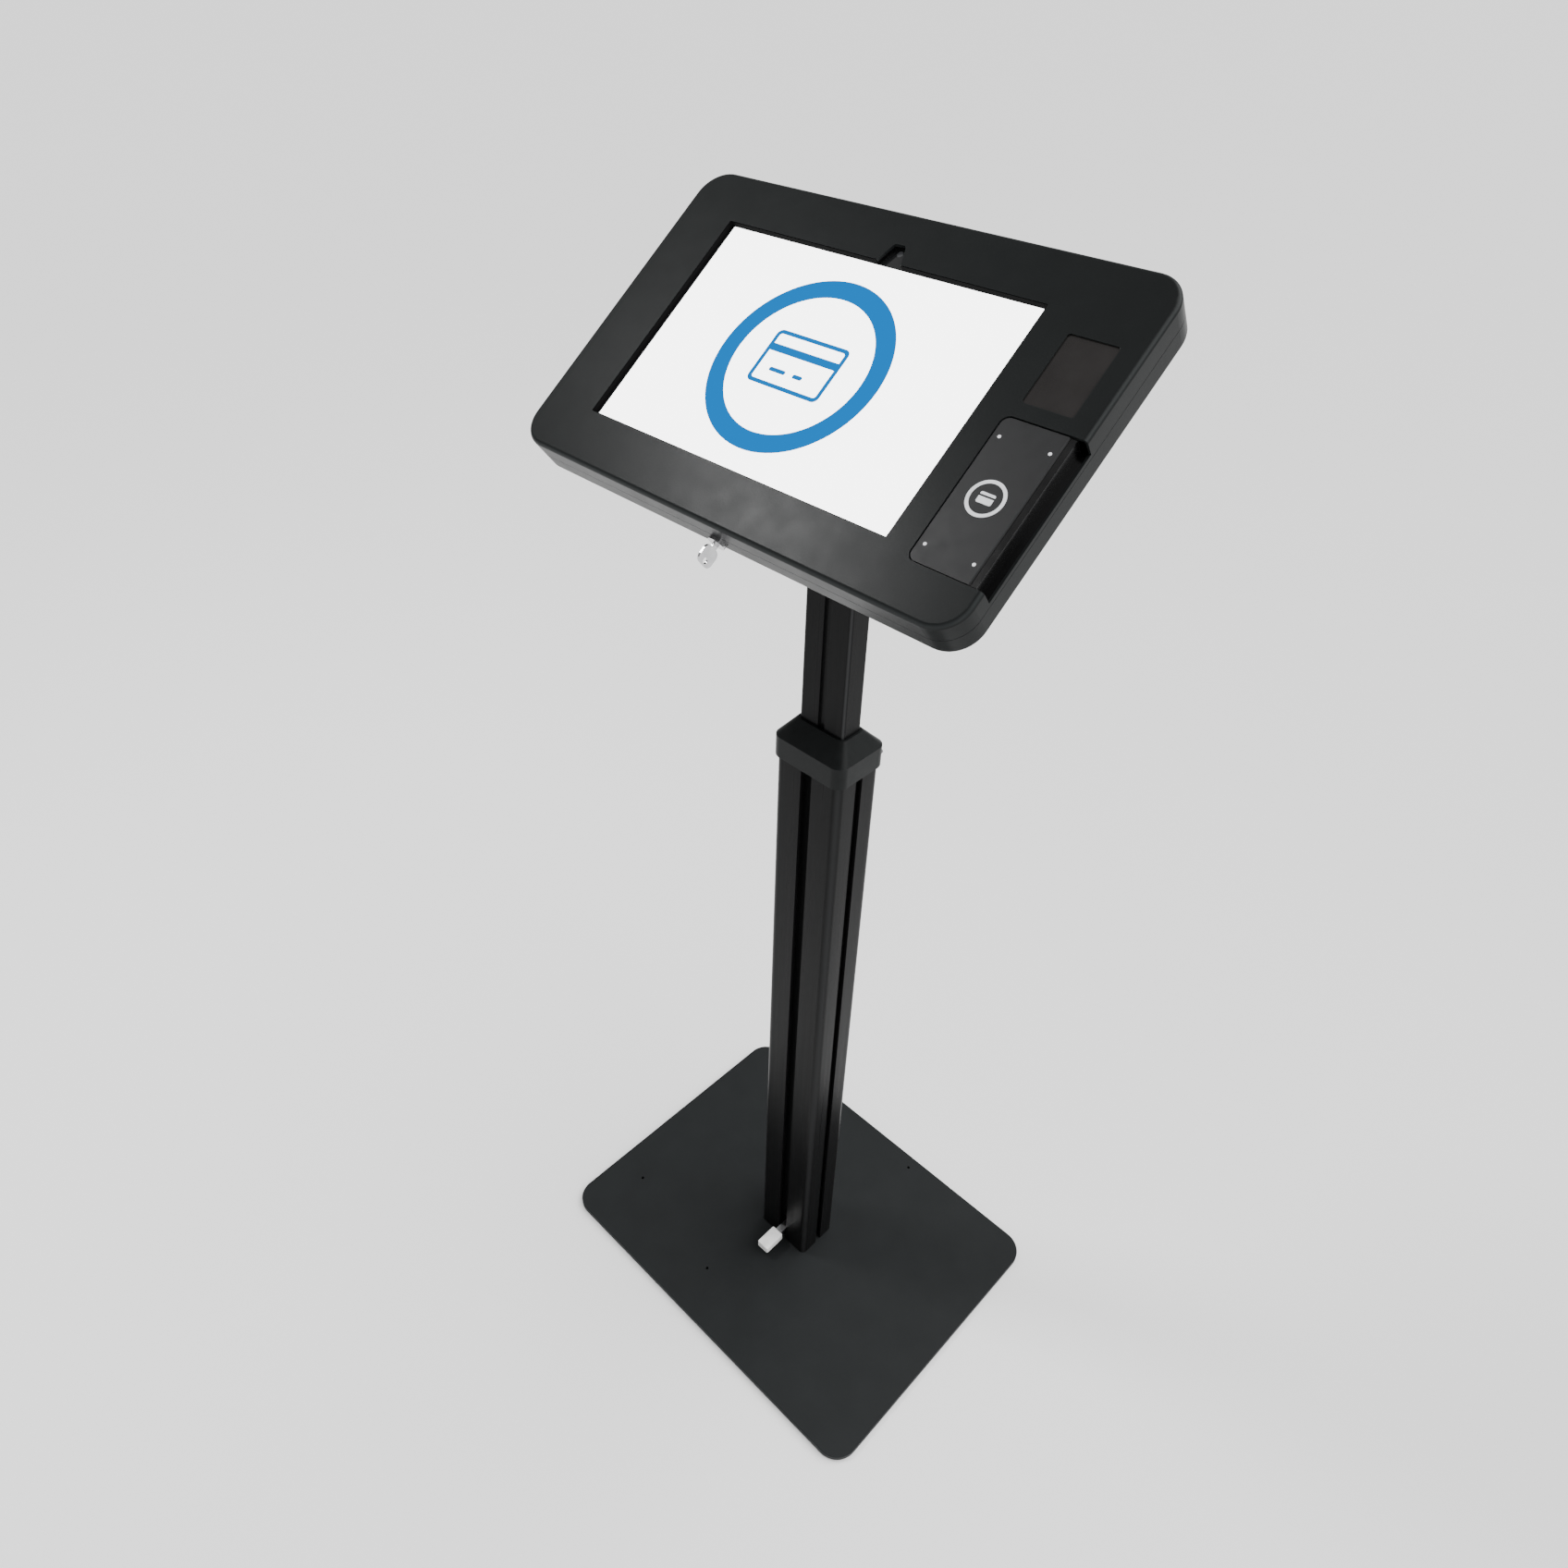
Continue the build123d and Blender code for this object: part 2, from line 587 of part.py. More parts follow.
def spring_pin_height():
    return SPRING_TUBE_TOP + SPRING_EYE_HEIGHT / 2


def spring_pin():
    half = INNER_WIDTH / 2
    return along_x(SPRING_PIN_RADIUS, (-half, half), (0, spring_pin_height()))


# Inner column and the fixed half of the tilt hinge


def inner_column():
    section = RectangleRounded(INNER_WIDTH, INNER_DEPTH, INNER_CORNER_RADIUS)
    section -= Rectangle(INNER_WIDTH - 2 * INNER_SIDE_WALL, INNER_DEPTH - 2 * INNER_FRONT_WALL)
    for side in (-1, 1):
        place = Pos(0, side * (INNER_DEPTH - INNER_GROOVE_DEPTH) / 2)
        section -= place * Rectangle(INNER_GROOVE_WIDTH, INNER_GROOVE_DEPTH)
    column = Pos(0, 0, INNER_BOTTOM) * extrude(section, INNER_TOP - INNER_BOTTOM)
    half = INNER_WIDTH / 2
    return column - along_x(SPRING_PIN_RADIUS, (-half, half), (0, spring_pin_height()))


def column_shoe():
    bottom = INNER_BOTTOM - SHOE_FLOOR
    shoe = slab(
        BORE_WIDTH - 2 * SLIDE_CLEARANCE,
        BORE_DEPTH - 2 * SLIDE_CLEARANCE,
        bottom,
        INNER_BOTTOM + SHOE_LENGTH,
        INNER_CORNER_RADIUS,
    )
    shoe -= slab(INNER_WIDTH, INNER_DEPTH, INNER_BOTTOM, INNER_BOTTOM + SHOE_LENGTH, INNER_CORNER_RADIUS)
    return shoe - upright(SPRING_TUBE_RADIUS, bottom, INNER_BOTTOM)


def yoke_screw_places():
    return (-YOKE_SCREW_X, YOKE_SCREW_X)


def column_plug():
    width = INNER_WIDTH - 2 * INNER_SIDE_WALL
    depth = INNER_DEPTH - 2 * INNER_FRONT_WALL
    plug = Pos(0, 0, INNER_TOP - PLUG_LENGTH / 2) * Box(width, depth, PLUG_LENGTH)
    for x in yoke_screw_places():
        plug -= upright(YOKE_SCREW_RADIUS, INNER_TOP - PLUG_HOLE_DEPTH, INNER_TOP, (x, 0))
    return plug


def tilt_yoke():
    half_width = INNER_WIDTH / 2
    half_depth = INNER_DEPTH / 2
    yoke = box((-half_width, half_width), (-half_depth, half_depth), (INNER_TOP, INNER_TOP + YOKE_PLATE))
    outside = YOKE_EAR_INSIDE + YOKE_EAR
    for side in (-1, 1):
        x = sorted((side * YOKE_EAR_INSIDE, side * outside))
        yoke += box(x, (-half_depth, half_depth), (INNER_TOP, HINGE_HEIGHT))
        yoke += along_x(half_depth, x, (0, HINGE_HEIGHT))
    yoke -= along_x(TILT_BOLT_RADIUS + RUNNING_CLEARANCE, (-outside, outside), (0, HINGE_HEIGHT))
    for x in yoke_screw_places():
        yoke -= upright(YOKE_SCREW_RADIUS, INNER_TOP, INNER_TOP + YOKE_PLATE, (x, 0))
    return yoke


def yoke_screws():
    seat = INNER_TOP + YOKE_PLATE
    one = screw(YOKE_SCREW_RADIUS, seat, INNER_TOP - YOKE_SCREW_REACH, YOKE_SCREW_HEAD)
    return group(Pos(x, 0, 0) * one for x in yoke_screw_places())


# Moving half of the tilt hinge


def washer_limits():
    inside = YOKE_EAR_INSIDE + YOKE_EAR + WASHER_GAP
    return inside, inside + WASHER_THICKNESS


def hinge_in_panel():
    """The tilt axis as (y, z) in the enclosure's own flat frame."""
    return HINGE_UP_PANEL, -HINGE_FROM_FACE


def tilt_bracket():
    axis = hinge_in_panel()
    half_width = BRACKET_PLATE_WIDTH / 2
    y = (axis[0] - BRACKET_PLATE_LENGTH / 2, axis[0] + BRACKET_PLATE_LENGTH / 2)
    bracket = box((-half_width, half_width), y, (-PANEL_DEPTH - BRACKET_PLATE, -PANEL_DEPTH))
    bracket = fillet(bracket.edges().filter_by(Axis.Z), BRACKET_PLATE_CORNER)
    inside = washer_limits()[1]
    for side in (-1, 1):
        x = sorted((side * inside, side * (inside + BRACKET_EAR)))
        ear_y = (axis[0] - EAR_RADIUS, axis[0] + EAR_RADIUS)
        bracket += box(x, ear_y, (axis[1], -PANEL_DEPTH - BRACKET_PLATE))
        bracket += along_x(EAR_RADIUS, x, axis)
    reach = inside + BRACKET_EAR
    bracket -= along_x(TILT_BOLT_RADIUS, (-reach, reach), axis)
    for place in bracket_screw_places():
        bracket -= upright(BRACKET_SCREW_RADIUS, -PANEL_DEPTH - BRACKET_PLATE, -PANEL_DEPTH, place)
    return PANEL.location * bracket


def bracket_screw_places():
    return four(BRACKET_PATTERN_X / 2, BRACKET_PATTERN_Y / 2, (0.0, HINGE_UP_PANEL))


def bracket_screws():
    back = -PANEL_DEPTH - BRACKET_PLATE
    tip = HOUSING_FLOOR + BRACKET_SCREW_END
    one = screw(BRACKET_SCREW_RADIUS, back, tip, BRACKET_SCREW_HEAD, up=-1)
    return PANEL.location * group(Pos(*place) * one for place in bracket_screw_places())


def bracket_nuts():
    nut = extrude(RegularPolygon(BRACKET_NUT_RADIUS, 6), BRACKET_NUT_HEIGHT)
    nut -= upright(BRACKET_SCREW_RADIUS, 0, BRACKET_NUT_HEIGHT)
    floor = Pos(0, 0, HOUSING_FLOOR)
    return PANEL.location * group(floor * Pos(*place) * nut for place in bracket_screw_places())


def tilt_washers():
    axis = hinge_in_panel()
    washers = []
    for side in (-1, 1):
        x = sorted(side * limit for limit in washer_limits())
        washers.append(along_x(WASHER_RADIUS, x, axis) - along_x(TILT_BOLT_RADIUS, x, axis))
    return PANEL.location * group(washers)


def tilt_bolt():
    axis = hinge_in_panel()
    face = washer_limits()[1] + BRACKET_EAR
    bolt = along_x(TILT_BOLT_RADIUS, (-face, face + KNOB_BORE), axis)
    head = extrude(RegularPolygon(TILT_BOLT_HEAD_RADIUS, 6), TILT_BOLT_HEAD)
    head = Pos(-face, axis[0], axis[1]) * Rot(0, -90, 0) * head
    return PANEL.location * (bolt + head)


def tilt_knob():
    axis = hinge_in_panel()
    face = washer_limits()[1] + BRACKET_EAR
    grip = (face + KNOB_NECK, face + KNOB_NECK + KNOB_GRIP)
    knob = along_x(KNOB_RADIUS, grip, axis) + along_x(KNOB_NECK_RADIUS, (face, grip[0]), axis)
    for step in range(KNOB_SCALLOPS):
        angle = radians(360 * (step + 0.5) / KNOB_SCALLOPS)
        y = axis[0] + KNOB_SCALLOP_CENTRE * cos(angle)
        z = axis[1] + KNOB_SCALLOP_CENTRE * sin(angle)
        knob -= along_x(KNOB_SCALLOP_RADIUS, grip, (y, z))
    return PANEL.location * (knob - along_x(TILT_BOLT_RADIUS, (face, face + KNOB_BORE), axis))


# Rear housing and tablet


def rear_housing():
    outside = slab(PANEL_WIDTH, PANEL_HEIGHT, -PANEL_DEPTH, HOUSING_FRONT, PANEL_CORNER_RADIUS)
    outside = fillet(outside.faces().sort_by(Axis.Z)[0].edges(), PANEL_EDGE_RADIUS)
    inside = slab(
        PANEL_WIDTH - 2 * HOUSING_SHEET,
        PANEL_HEIGHT - 2 * HOUSING_SHEET,
        HOUSING_FLOOR,
        HOUSING_FRONT,
        PANEL_CORNER_RADIUS - HOUSING_SHEET,
    )
    inside = fillet(inside.faces().sort_by(Axis.Z)[0].edges(), PANEL_EDGE_RADIUS - HOUSING_SHEET)
    housing = outside - inside
    for place in bracket_screw_places():
        housing -= upright(BRACKET_SCREW_RADIUS, -PANEL_DEPTH, HOUSING_FLOOR, place)
    for bank in (-1, 1):
        for step in range(VENT_COUNT):
            y = HINGE_UP_PANEL + (step - (VENT_COUNT - 1) / 2) * VENT_PITCH
            vent = Pos(bank * (BRACKET_PLATE_WIDTH / 2 + VENT_OFFSET), y, -PANEL_DEPTH)
            housing -= vent * extrude(SlotOverall(VENT_LENGTH, VENT_WIDTH), HOUSING_SHEET)
    housing -= upright(CABLE_HOLE_RADIUS, -PANEL_DEPTH, HOUSING_FLOOR, cable_hole_place())
    housing -= along_y(BARREL_RADIUS, (LOCK_FACE, LOCK_FACE + HOUSING_SHEET), (0, LOCK_Z))
    return PANEL.location * housing


def cable_hole_place():
    """Beside the column, so that a cable can leave straight out of the back."""
    y = HINGE_UP_PANEL - BRACKET_PLATE_LENGTH / 2 - CABLE_HOLE_BELOW_BRACKET
    return CABLE_HOLE_BESIDE_COLUMN, y


def cable_grommet():
    outside = -PANEL_DEPTH - GROMMET_LIP
    inside = HOUSING_FLOOR + GROMMET_LIP
    ring = upright(CABLE_HOLE_RADIUS, -PANEL_DEPTH, HOUSING_FLOOR)
    ring += upright(CABLE_HOLE_RADIUS + GROMMET_WALL, outside, -PANEL_DEPTH)
    ring += upright(CABLE_HOLE_RADIUS + GROMMET_WALL, HOUSING_FLOOR, inside)
    ring -= upright(CABLE_HOLE_RADIUS - GROMMET_WALL, outside, inside)
    return PANEL.location * Pos(*cable_hole_place()) * ring


def tablet_body():
    body = slab(TABLET_WIDTH, TABLET_HEIGHT, TABLET_BACK, GLASS_TOP, TABLET_CORNER_RADIUS, (SCREEN_X, 0))
    body = fillet(body.faces().sort_by(Axis.Z)[0].edges(), TABLET_BACK_ROUNDING)
    return PANEL.location * (body - glass_blank())


def glass_blank():
    return slab(
        TABLET_WIDTH - 2 * GLASS_INSET,
        TABLET_HEIGHT - 2 * GLASS_INSET,
        GLASS_BOTTOM,
        GLASS_TOP,
        TABLET_CORNER_RADIUS - GLASS_INSET,
        (SCREEN_X, 0),
    )


def tablet_glass():
    return PANEL.location * (glass_blank() - upright(LENS_RADIUS, GLASS_BOTTOM, GLASS_TOP, (0, LENS_Y)))


def camera_lens():
    return PANEL.location * upright(LENS_RADIUS, GLASS_BOTTOM, GLASS_TOP, (0, LENS_Y))


def tablet_brackets():
    brackets = []
    half_x = TABLET_WIDTH / 2 + CORNER_CLEARANCE
    half_y = TABLET_HEIGHT / 2 + CORNER_CLEARANCE
    outer_x = half_x + CORNER_WALL
    outer_y = half_y + CORNER_WALL
    for i in (-1, 1):
        for j in (-1, 1):
            x = sorted((i * (half_x - CORNER_BRACKET), i * outer_x))
            y = sorted((j * (half_y - CORNER_BRACKET), j * outer_y))
            post = box(x, y, (HOUSING_FLOOR, GLASS_BOTTOM))
            room_x = sorted((i * (half_x - 2 * CORNER_BRACKET), i * half_x))
            room_y = sorted((j * (half_y - 2 * CORNER_BRACKET), j * half_y))
            post -= box(room_x, room_y, (TABLET_BACK, GLASS_BOTTOM))
            brackets.append(Pos(SCREEN_X, 0, 0) * post)
    return PANEL.location * group(brackets)


# Front cover


def screen_hole(bottom, top):
    """The room over the display, the same through the cover and the gasket."""
    return slab(SCREEN_WIDTH, SCREEN_HEIGHT, bottom, top, SCREEN_CORNER_RADIUS, (SCREEN_X, 0))


def notch_outline():
    low = SCREEN_HEIGHT / 2 - NOTCH_OVERLAP
    high = SCREEN_HEIGHT / 2 + NOTCH_HEIGHT
    foot = NOTCH_FOOT / 2
    head = NOTCH_TOP / 2
    outline = make_face(Polyline((-foot, low), (foot, low), (head, high), (-head, high), close=True))
    return fillet(outline.vertices().group_by(Axis.Y)[-1], NOTCH_ROUNDING)


def reader_limits(margin=0.0):
    """The reader's opening as limits in x and y, grown by a margin."""
    left = READER_X - READER_WIDTH / 2 - margin
    bottom = READER_Y - READER_HEIGHT / 2 - margin
    return (left, READER_X + READER_WIDTH / 2 + margin), (bottom, bottom + READER_HEIGHT + 2 * margin)


def reader_opening():
    """The reader's cut-out, which runs out through the right-hand wall."""
    (left, right), (bottom, top) = reader_limits()
    opening = box((left, PANEL_RIGHT), (bottom, top), (-COVER_FACE, 0))
    opening = fillet(opening.edges().filter_by(Axis.Z).group_by(Axis.X)[0], READER_CORNER_RADIUS)
    return opening + box((right, PANEL_RIGHT), (bottom, top), (-RAIL_DEPTH, 0))


def front_cover():
    outside = slab(PANEL_WIDTH, PANEL_HEIGHT, COVER_REAR, 0, PANEL_CORNER_RADIUS)
    outside = fillet(outside.faces().sort_by(Axis.Z)[-1].edges(), PANEL_EDGE_RADIUS)
    inside = slab(
        PANEL_WIDTH - 2 * COVER_SHEET,
        PANEL_HEIGHT - 2 * COVER_SHEET,
        COVER_REAR,
        -COVER_FACE,
        PANEL_CORNER_RADIUS - COVER_SHEET,
    )
    inside = fillet(inside.faces().sort_by(Axis.Z)[-1].edges(), PANEL_EDGE_RADIUS - COVER_SHEET)
    cover = outside - inside
    cover -= screen_hole(-COVER_FACE, 0)
    cover -= Pos(0, 0, -COVER_FACE) * extrude(notch_outline(), COVER_FACE)
    cover -= window_pane(-COVER_FACE, 0, 0)
    cover -= reader_opening()
    return PANEL.location * cover


def screen_gasket():
    width = SCREEN_WIDTH + 2 * GASKET_WIDTH
    height = SCREEN_HEIGHT + 2 * GASKET_WIDTH
    bottom = GLASS_TOP + GASKET_GAP
    gasket = slab(width, height, bottom, -COVER_FACE, GASKET_CORNER_RADIUS, (SCREEN_X, 0))
    gasket -= screen_hole(bottom, -COVER_FACE)
    gasket -= Pos(0, 0, bottom) * extrude(notch_outline(), -COVER_FACE - bottom)
    return PANEL.location * gasket


def window_pane(bottom, top, margin):
    """A rounded block in the scanner window's outline, grown by a margin."""
    width = WINDOW_WIDTH + 2 * margin
    height = WINDOW_HEIGHT + 2 * margin
    return slab(width, height, bottom, top, WINDOW_CORNER_RADIUS, (WINDOW_X, WINDOW_Y))


def scanner_window():
    pane = window_pane(-COVER_FACE, -WINDOW_RECESS, 0)
    flange = window_pane(-COVER_FACE - WINDOW_THICKNESS, -COVER_FACE, WINDOW_FLANGE)
    return PANEL.location * (pane + flange)


def scanner_module():
    top = -COVER_FACE - WINDOW_THICKNESS
    floor = top - SCANNER_CAVITY
    width = WINDOW_WIDTH - 2 * SCANNER_SIDE_MARGIN
    height = WINDOW_HEIGHT - 2 * SCANNER_END_MARGIN
    body = Pos(0, 0, top - SCANNER_DEPTH / 2) * Box(width, height, SCANNER_DEPTH)
    cavity = Box(width - 2 * SCANNER_WALL, height - 2 * SCANNER_WALL, SCANNER_CAVITY)
    body -= Pos(0, 0, top - SCANNER_CAVITY / 2) * cavity
    body += upright(SCANNER_LENS_RADIUS, floor, floor + SCANNER_LENS_HEIGHT)
    return PANEL.location * Pos(WINDOW_X, WINDOW_Y) * body


def pad_limits():
    (left, right), (bottom, top) = reader_limits()
    return (left + PAD_GAP, right), (bottom + PAD_GAP, top - PAD_GAP)


def reader_pad():
    (left, right), (bottom, top) = pad_limits()
    surface = -PAD_RECESS
    pad = box((left, right), (bottom, top), (surface - PAD_THICKNESS, surface))
    pad = fillet(pad.edges().filter_by(Axis.Z).group_by(Axis.X)[0], READER_CORNER_RADIUS - PAD_GAP)
    edge = pad.faces().sort_by(Axis.Z)[-1].edges().filter_by(Axis.Y).sort_by(Axis.X)[-1]
    pad = chamfer(edge, PAD_EDGE_BREAK)
    for place in led_places():
        pad -= upright(LED_RADIUS, surface - PAD_THICKNESS, surface, place)
    return PANEL.location * pad


def led_places():
    return four(LED_SPACING_X / 2, LED_SPACING_Y / 2, (READER_X + LED_SHIFT_X, LED_CENTRE_Y))


def reader_leds():
    top = -PAD_RECESS
    light = upright(LED_RADIUS, top - PAD_THICKNESS, top + LED_PROUD)
    return PANEL.location * group(Pos(*place) * light for place in led_places())


def reader_symbol():
    """A plain ring with a card shape inside it."""
    ring = Circle(SYMBOL_RADIUS) - Circle(SYMBOL_RADIUS - SYMBOL_LINE)
    card = RectangleRounded(CARD_WIDTH, CARD_HEIGHT, CARD_CORNER)
    card -= Pos(0, CARD_STRIPE) * Rectangle(CARD_WIDTH, CARD_STRIPE)
    solids = []
    for outline in (ring, card):
        for face in outline.faces():
            solids.append(Pos(SYMBOL_X, SYMBOL_Y, -PAD_RECESS) * extrude(face, SYMBOL_HEIGHT))
    return PANEL.location * group(solids)


def reader_body():
    (left, right), (bottom, top) = reader_limits()
    flange_top = -COVER_FACE
    back = flange_top - READER_BODY_DEPTH
    width = (left - READER_FLANGE, right)
    body = box(width, (bottom - READER_FLANGE, top + READER_FLANGE), (back, flange_top))
    body -= box((left, right), (bottom, top), (-PAD_RECESS - PAD_THICKNESS, flange_top))
    for place in reader_screw_places():
        body -= upright(READER_SCREW_RADIUS, back, flange_top, place)
    return PANEL.location * body


def reader_screw_places():
    (left, right), (bottom, top) = reader_limits(READER_FLANGE / 2)
    middle = (left + right) / 2
    return [(middle, bottom), (middle, top)]


def reader_screws():
    back = -COVER_FACE - READER_BODY_DEPTH
    one = screw(READER_SCREW_RADIUS, back, -COVER_FACE, READER_SCREW_HEAD, up=-1)
    return PANEL.location * group(Pos(*place) * one for place in reader_screw_places())


def reader_rail():
    """The swipe channel: a floor and one upright wall beside the reader."""
    (left, right), (bottom, top) = reader_limits()
    y = (bottom + PAD_GAP, top - PAD_GAP)
    bottom_face = -RAIL_DEPTH - RAIL_FLOOR
    wall = box((right, right + RAIL_WALL), y, (bottom_face, -PAD_RECESS - RAIL_WALL_DROP))
    floor_end = PANEL_RIGHT - COVER_SHEET - RAIL_SIDE_GAP
    floor = box((right, floor_end), y, (bottom_face, -RAIL_DEPTH))
    return PANEL.location * (wall + floor)


def cover_catch():
    inside = CAM_LENGTH + CATCH_GAP
    foot_top = LOCK_Z - CAM_WIDTH / 2 - CATCH_FOOT_GAP
    front = CAM_FRONT - CATCH_BEFORE_CAM
    y = (front, front + CATCH_WIDTH)
    tab = box((inside, inside + CATCH_SHEET), y, (foot_top - CATCH_SHEET, -COVER_FACE))
    foot = box((inside - CATCH_FOOT, inside), y, (foot_top - CATCH_SHEET, foot_top))
    flange = box((inside, inside + CATCH_FLANGE), y, (-COVER_FACE - CATCH_SHEET, -COVER_FACE))
    return PANEL.location * (tab + foot + flange)


# Cover hinges


def hinge_places():
    return (-COVER_HINGE_X, COVER_HINGE_X)


def knuckle(x, leaf_z):
    """One hinge barrel with its leaf lying on the top wall."""
    axis = (COVER_HINGE_Y, -COVER_DEPTH)
    piece = along_x(KNUCKLE_RADIUS, x, axis)
    piece += box(x, (PANEL_TOP, PANEL_TOP + LEAF_THICKNESS), leaf_z)
    web = (min(leaf_z[0], axis[1]), max(leaf_z[1], axis[1]))
    return piece + box(x, (PANEL_TOP + KNUCKLE_GAP, PANEL_TOP + LEAF_THICKNESS), web)


def housing_knuckles():
    pieces = []
    half = KNUCKLE_MIDDLE / 2
    leaf_z = (HOUSING_FRONT - LEAF_LENGTH, HOUSING_FRONT)
    for x in hinge_places():
        piece = knuckle((x - half, x + half), leaf_z)
        bore = along_x(HINGE_PIN_RADIUS, (x - half, x + half), (COVER_HINGE_Y, -COVER_DEPTH))
        pieces.append(piece - bore)
    return PANEL.location * group(pieces)


def cover_knuckles():
    pieces = []
    inside = KNUCKLE_MIDDLE / 2 + KNUCKLE_SIDE_GAP
    leaf_z = (COVER_REAR, COVER_REAR + LEAF_LENGTH)
    bore = HINGE_PIN_RADIUS + RUNNING_CLEARANCE
    for centre in hinge_places():
        for side in (-1, 1):
            x = sorted((centre + side * inside, centre + side * COVER_HINGE_LENGTH / 2))
            piece = knuckle(x, leaf_z)
            pieces.append(piece - along_x(bore, x, (COVER_HINGE_Y, -COVER_DEPTH)))
    return PANEL.location * group(pieces)


def hinge_pins():
    half = COVER_HINGE_LENGTH / 2
    axis = (COVER_HINGE_Y, -COVER_DEPTH)
    return PANEL.location * group(
        along_x(HINGE_PIN_RADIUS, (x - half, x + half), axis) for x in hinge_places()
    )


# Cam lock


def lock_barrel():
    centre = (0, LOCK_Z)
    barrel = along_y(BARREL_RADIUS, (LOCK_FACE, LOCK_FACE + BARREL_LENGTH), centre)
    barrel += along_y(BARREL_FLANGE_RADIUS, (LOCK_FACE - BARREL_FLANGE, LOCK_FACE), centre)
    bore = along_y(
        PLUG_RADIUS + RUNNING_CLEARANCE,
        (LOCK_FACE - BARREL_FLANGE, LOCK_FACE + BARREL_LENGTH),
        centre,
    )
    return PANEL.location * (barrel - bore)


def lock_nut():
    inside = LOCK_FACE + HOUSING_SHEET
    outline = Rot(90, 0, 0) * RegularPolygon(LOCK_NUT_ACROSS / 2, 6, major_radius=False)
    nut = Pos(0, inside, LOCK_Z) * extrude(outline, LOCK_NUT_THICKNESS, dir=(0, 1, 0))
    bore = along_y(BARREL_RADIUS, (inside, inside + LOCK_NUT_THICKNESS), (0, LOCK_Z))
    return PANEL.location * (nut - bore)


def key_blade():
    half = KEY_THICKNESS / 2
    y = (LOCK_FACE - BARREL_FLANGE, LOCK_FACE - BARREL_FLANGE + KEY_BLADE_DEPTH)
    return box((-half, half), y, (LOCK_Z - KEY_BLADE_WIDTH / 2, LOCK_Z + KEY_BLADE_WIDTH / 2))


def lock_plug():
    y = (LOCK_FACE - BARREL_FLANGE, LOCK_FACE + BARREL_LENGTH)
    plug = along_y(PLUG_RADIUS, y, (0, LOCK_Z)) - key_blade()
    stem = along_y(CAM_STEM_RADIUS, (y[1], CAM_FRONT + CAM_THICKNESS), (0, LOCK_Z))
    return PANEL.location * (plug + stem)


def lock_cam():
    y = (CAM_FRONT, CAM_FRONT + CAM_THICKNESS)
    half = CAM_WIDTH / 2
    cam = along_y(half, y, (0, LOCK_Z))
    cam += box((-half, half), y, (LOCK_Z, LOCK_Z + CAM_LENGTH))
    return PANEL.location * (cam - along_y(CAM_STEM_RADIUS, y, (0, LOCK_Z)))


def cam_nut():
    back = CAM_FRONT + CAM_THICKNESS
    return PANEL.location * along_y(CAM_NUT_RADIUS, (back, back + CAM_NUT_THICKNESS), (0, LOCK_Z))


def door_key():
    face = LOCK_FACE - BARREL_FLANGE
    half = KEY_THICKNESS / 2
    blade_half = KEY_BLADE_WIDTH / 2
    neck = box((-half, half), (face - KEY_NECK, face), (LOCK_Z - blade_half, LOCK_Z + blade_half))
    bow_middle = face - KEY_NECK - KEY_BOW_LENGTH / 2
    bow = Pos(0, bow_middle, LOCK_Z) * Box(KEY_THICKNESS, KEY_BOW_LENGTH, KEY_BOW_WIDTH)
    bow = fillet(bow.edges().filter_by(Axis.X), KEY_BOW_ROUNDING)
    hole_place = (bow_middle - KEY_BOW_LENGTH / 4, LOCK_Z)
    hole = along_x(KEY_HOLE_RADIUS, (-half, half), hole_place)
    return PANEL.location * (key_blade() + neck + bow - hole)


NODES = [
    base_plate,
    base_feet,
    foot_screws,
    lower_column,
    column_bushing,
    column_collar,
    collar_screws,
    pedal_bracket,
    pedal_pin,
    pedal_lever,
    pedal_sleeve,
    release_pin,
    gas_spring_rod,
    rod_nut,
    gas_spring_tube,
    spring_pin,
    inner_column,
    column_shoe,
    column_plug,
    tilt_yoke,
    yoke_screws,
    tilt_bracket,
    bracket_screws,
    bracket_nuts,
    tilt_washers,
    tilt_bolt,
    tilt_knob,
    rear_housing,
    cable_grommet,
    tablet_body,
    tablet_glass,
    camera_lens,
    tablet_brackets,
    front_cover,
    screen_gasket,
    scanner_window,
    scanner_module,
    reader_pad,
    reader_leds,
    reader_symbol,
    reader_body,
    reader_screws,
    reader_rail,
    cover_catch,
    housing_knuckles,
    cover_knuckles,
    hinge_pins,
    lock_barrel,
    lock_nut,
    lock_plug,
    lock_cam,
    cam_nut,
    door_key,
]


def write_parts():
    os.makedirs("parts", exist_ok=True)
    for node in NODES:
        export_step(node(), f"parts/{node.__name__}.step")


write_parts()
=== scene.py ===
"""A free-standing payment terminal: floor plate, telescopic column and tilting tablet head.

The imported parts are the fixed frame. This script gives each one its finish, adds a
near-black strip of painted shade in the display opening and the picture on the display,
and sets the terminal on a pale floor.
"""

import json
import logging
import math
from dataclasses import dataclass, field
from enum import Enum
from typing import Iterable, Sequence

import bmesh
import bpy
from mathutils import Matrix, Vector


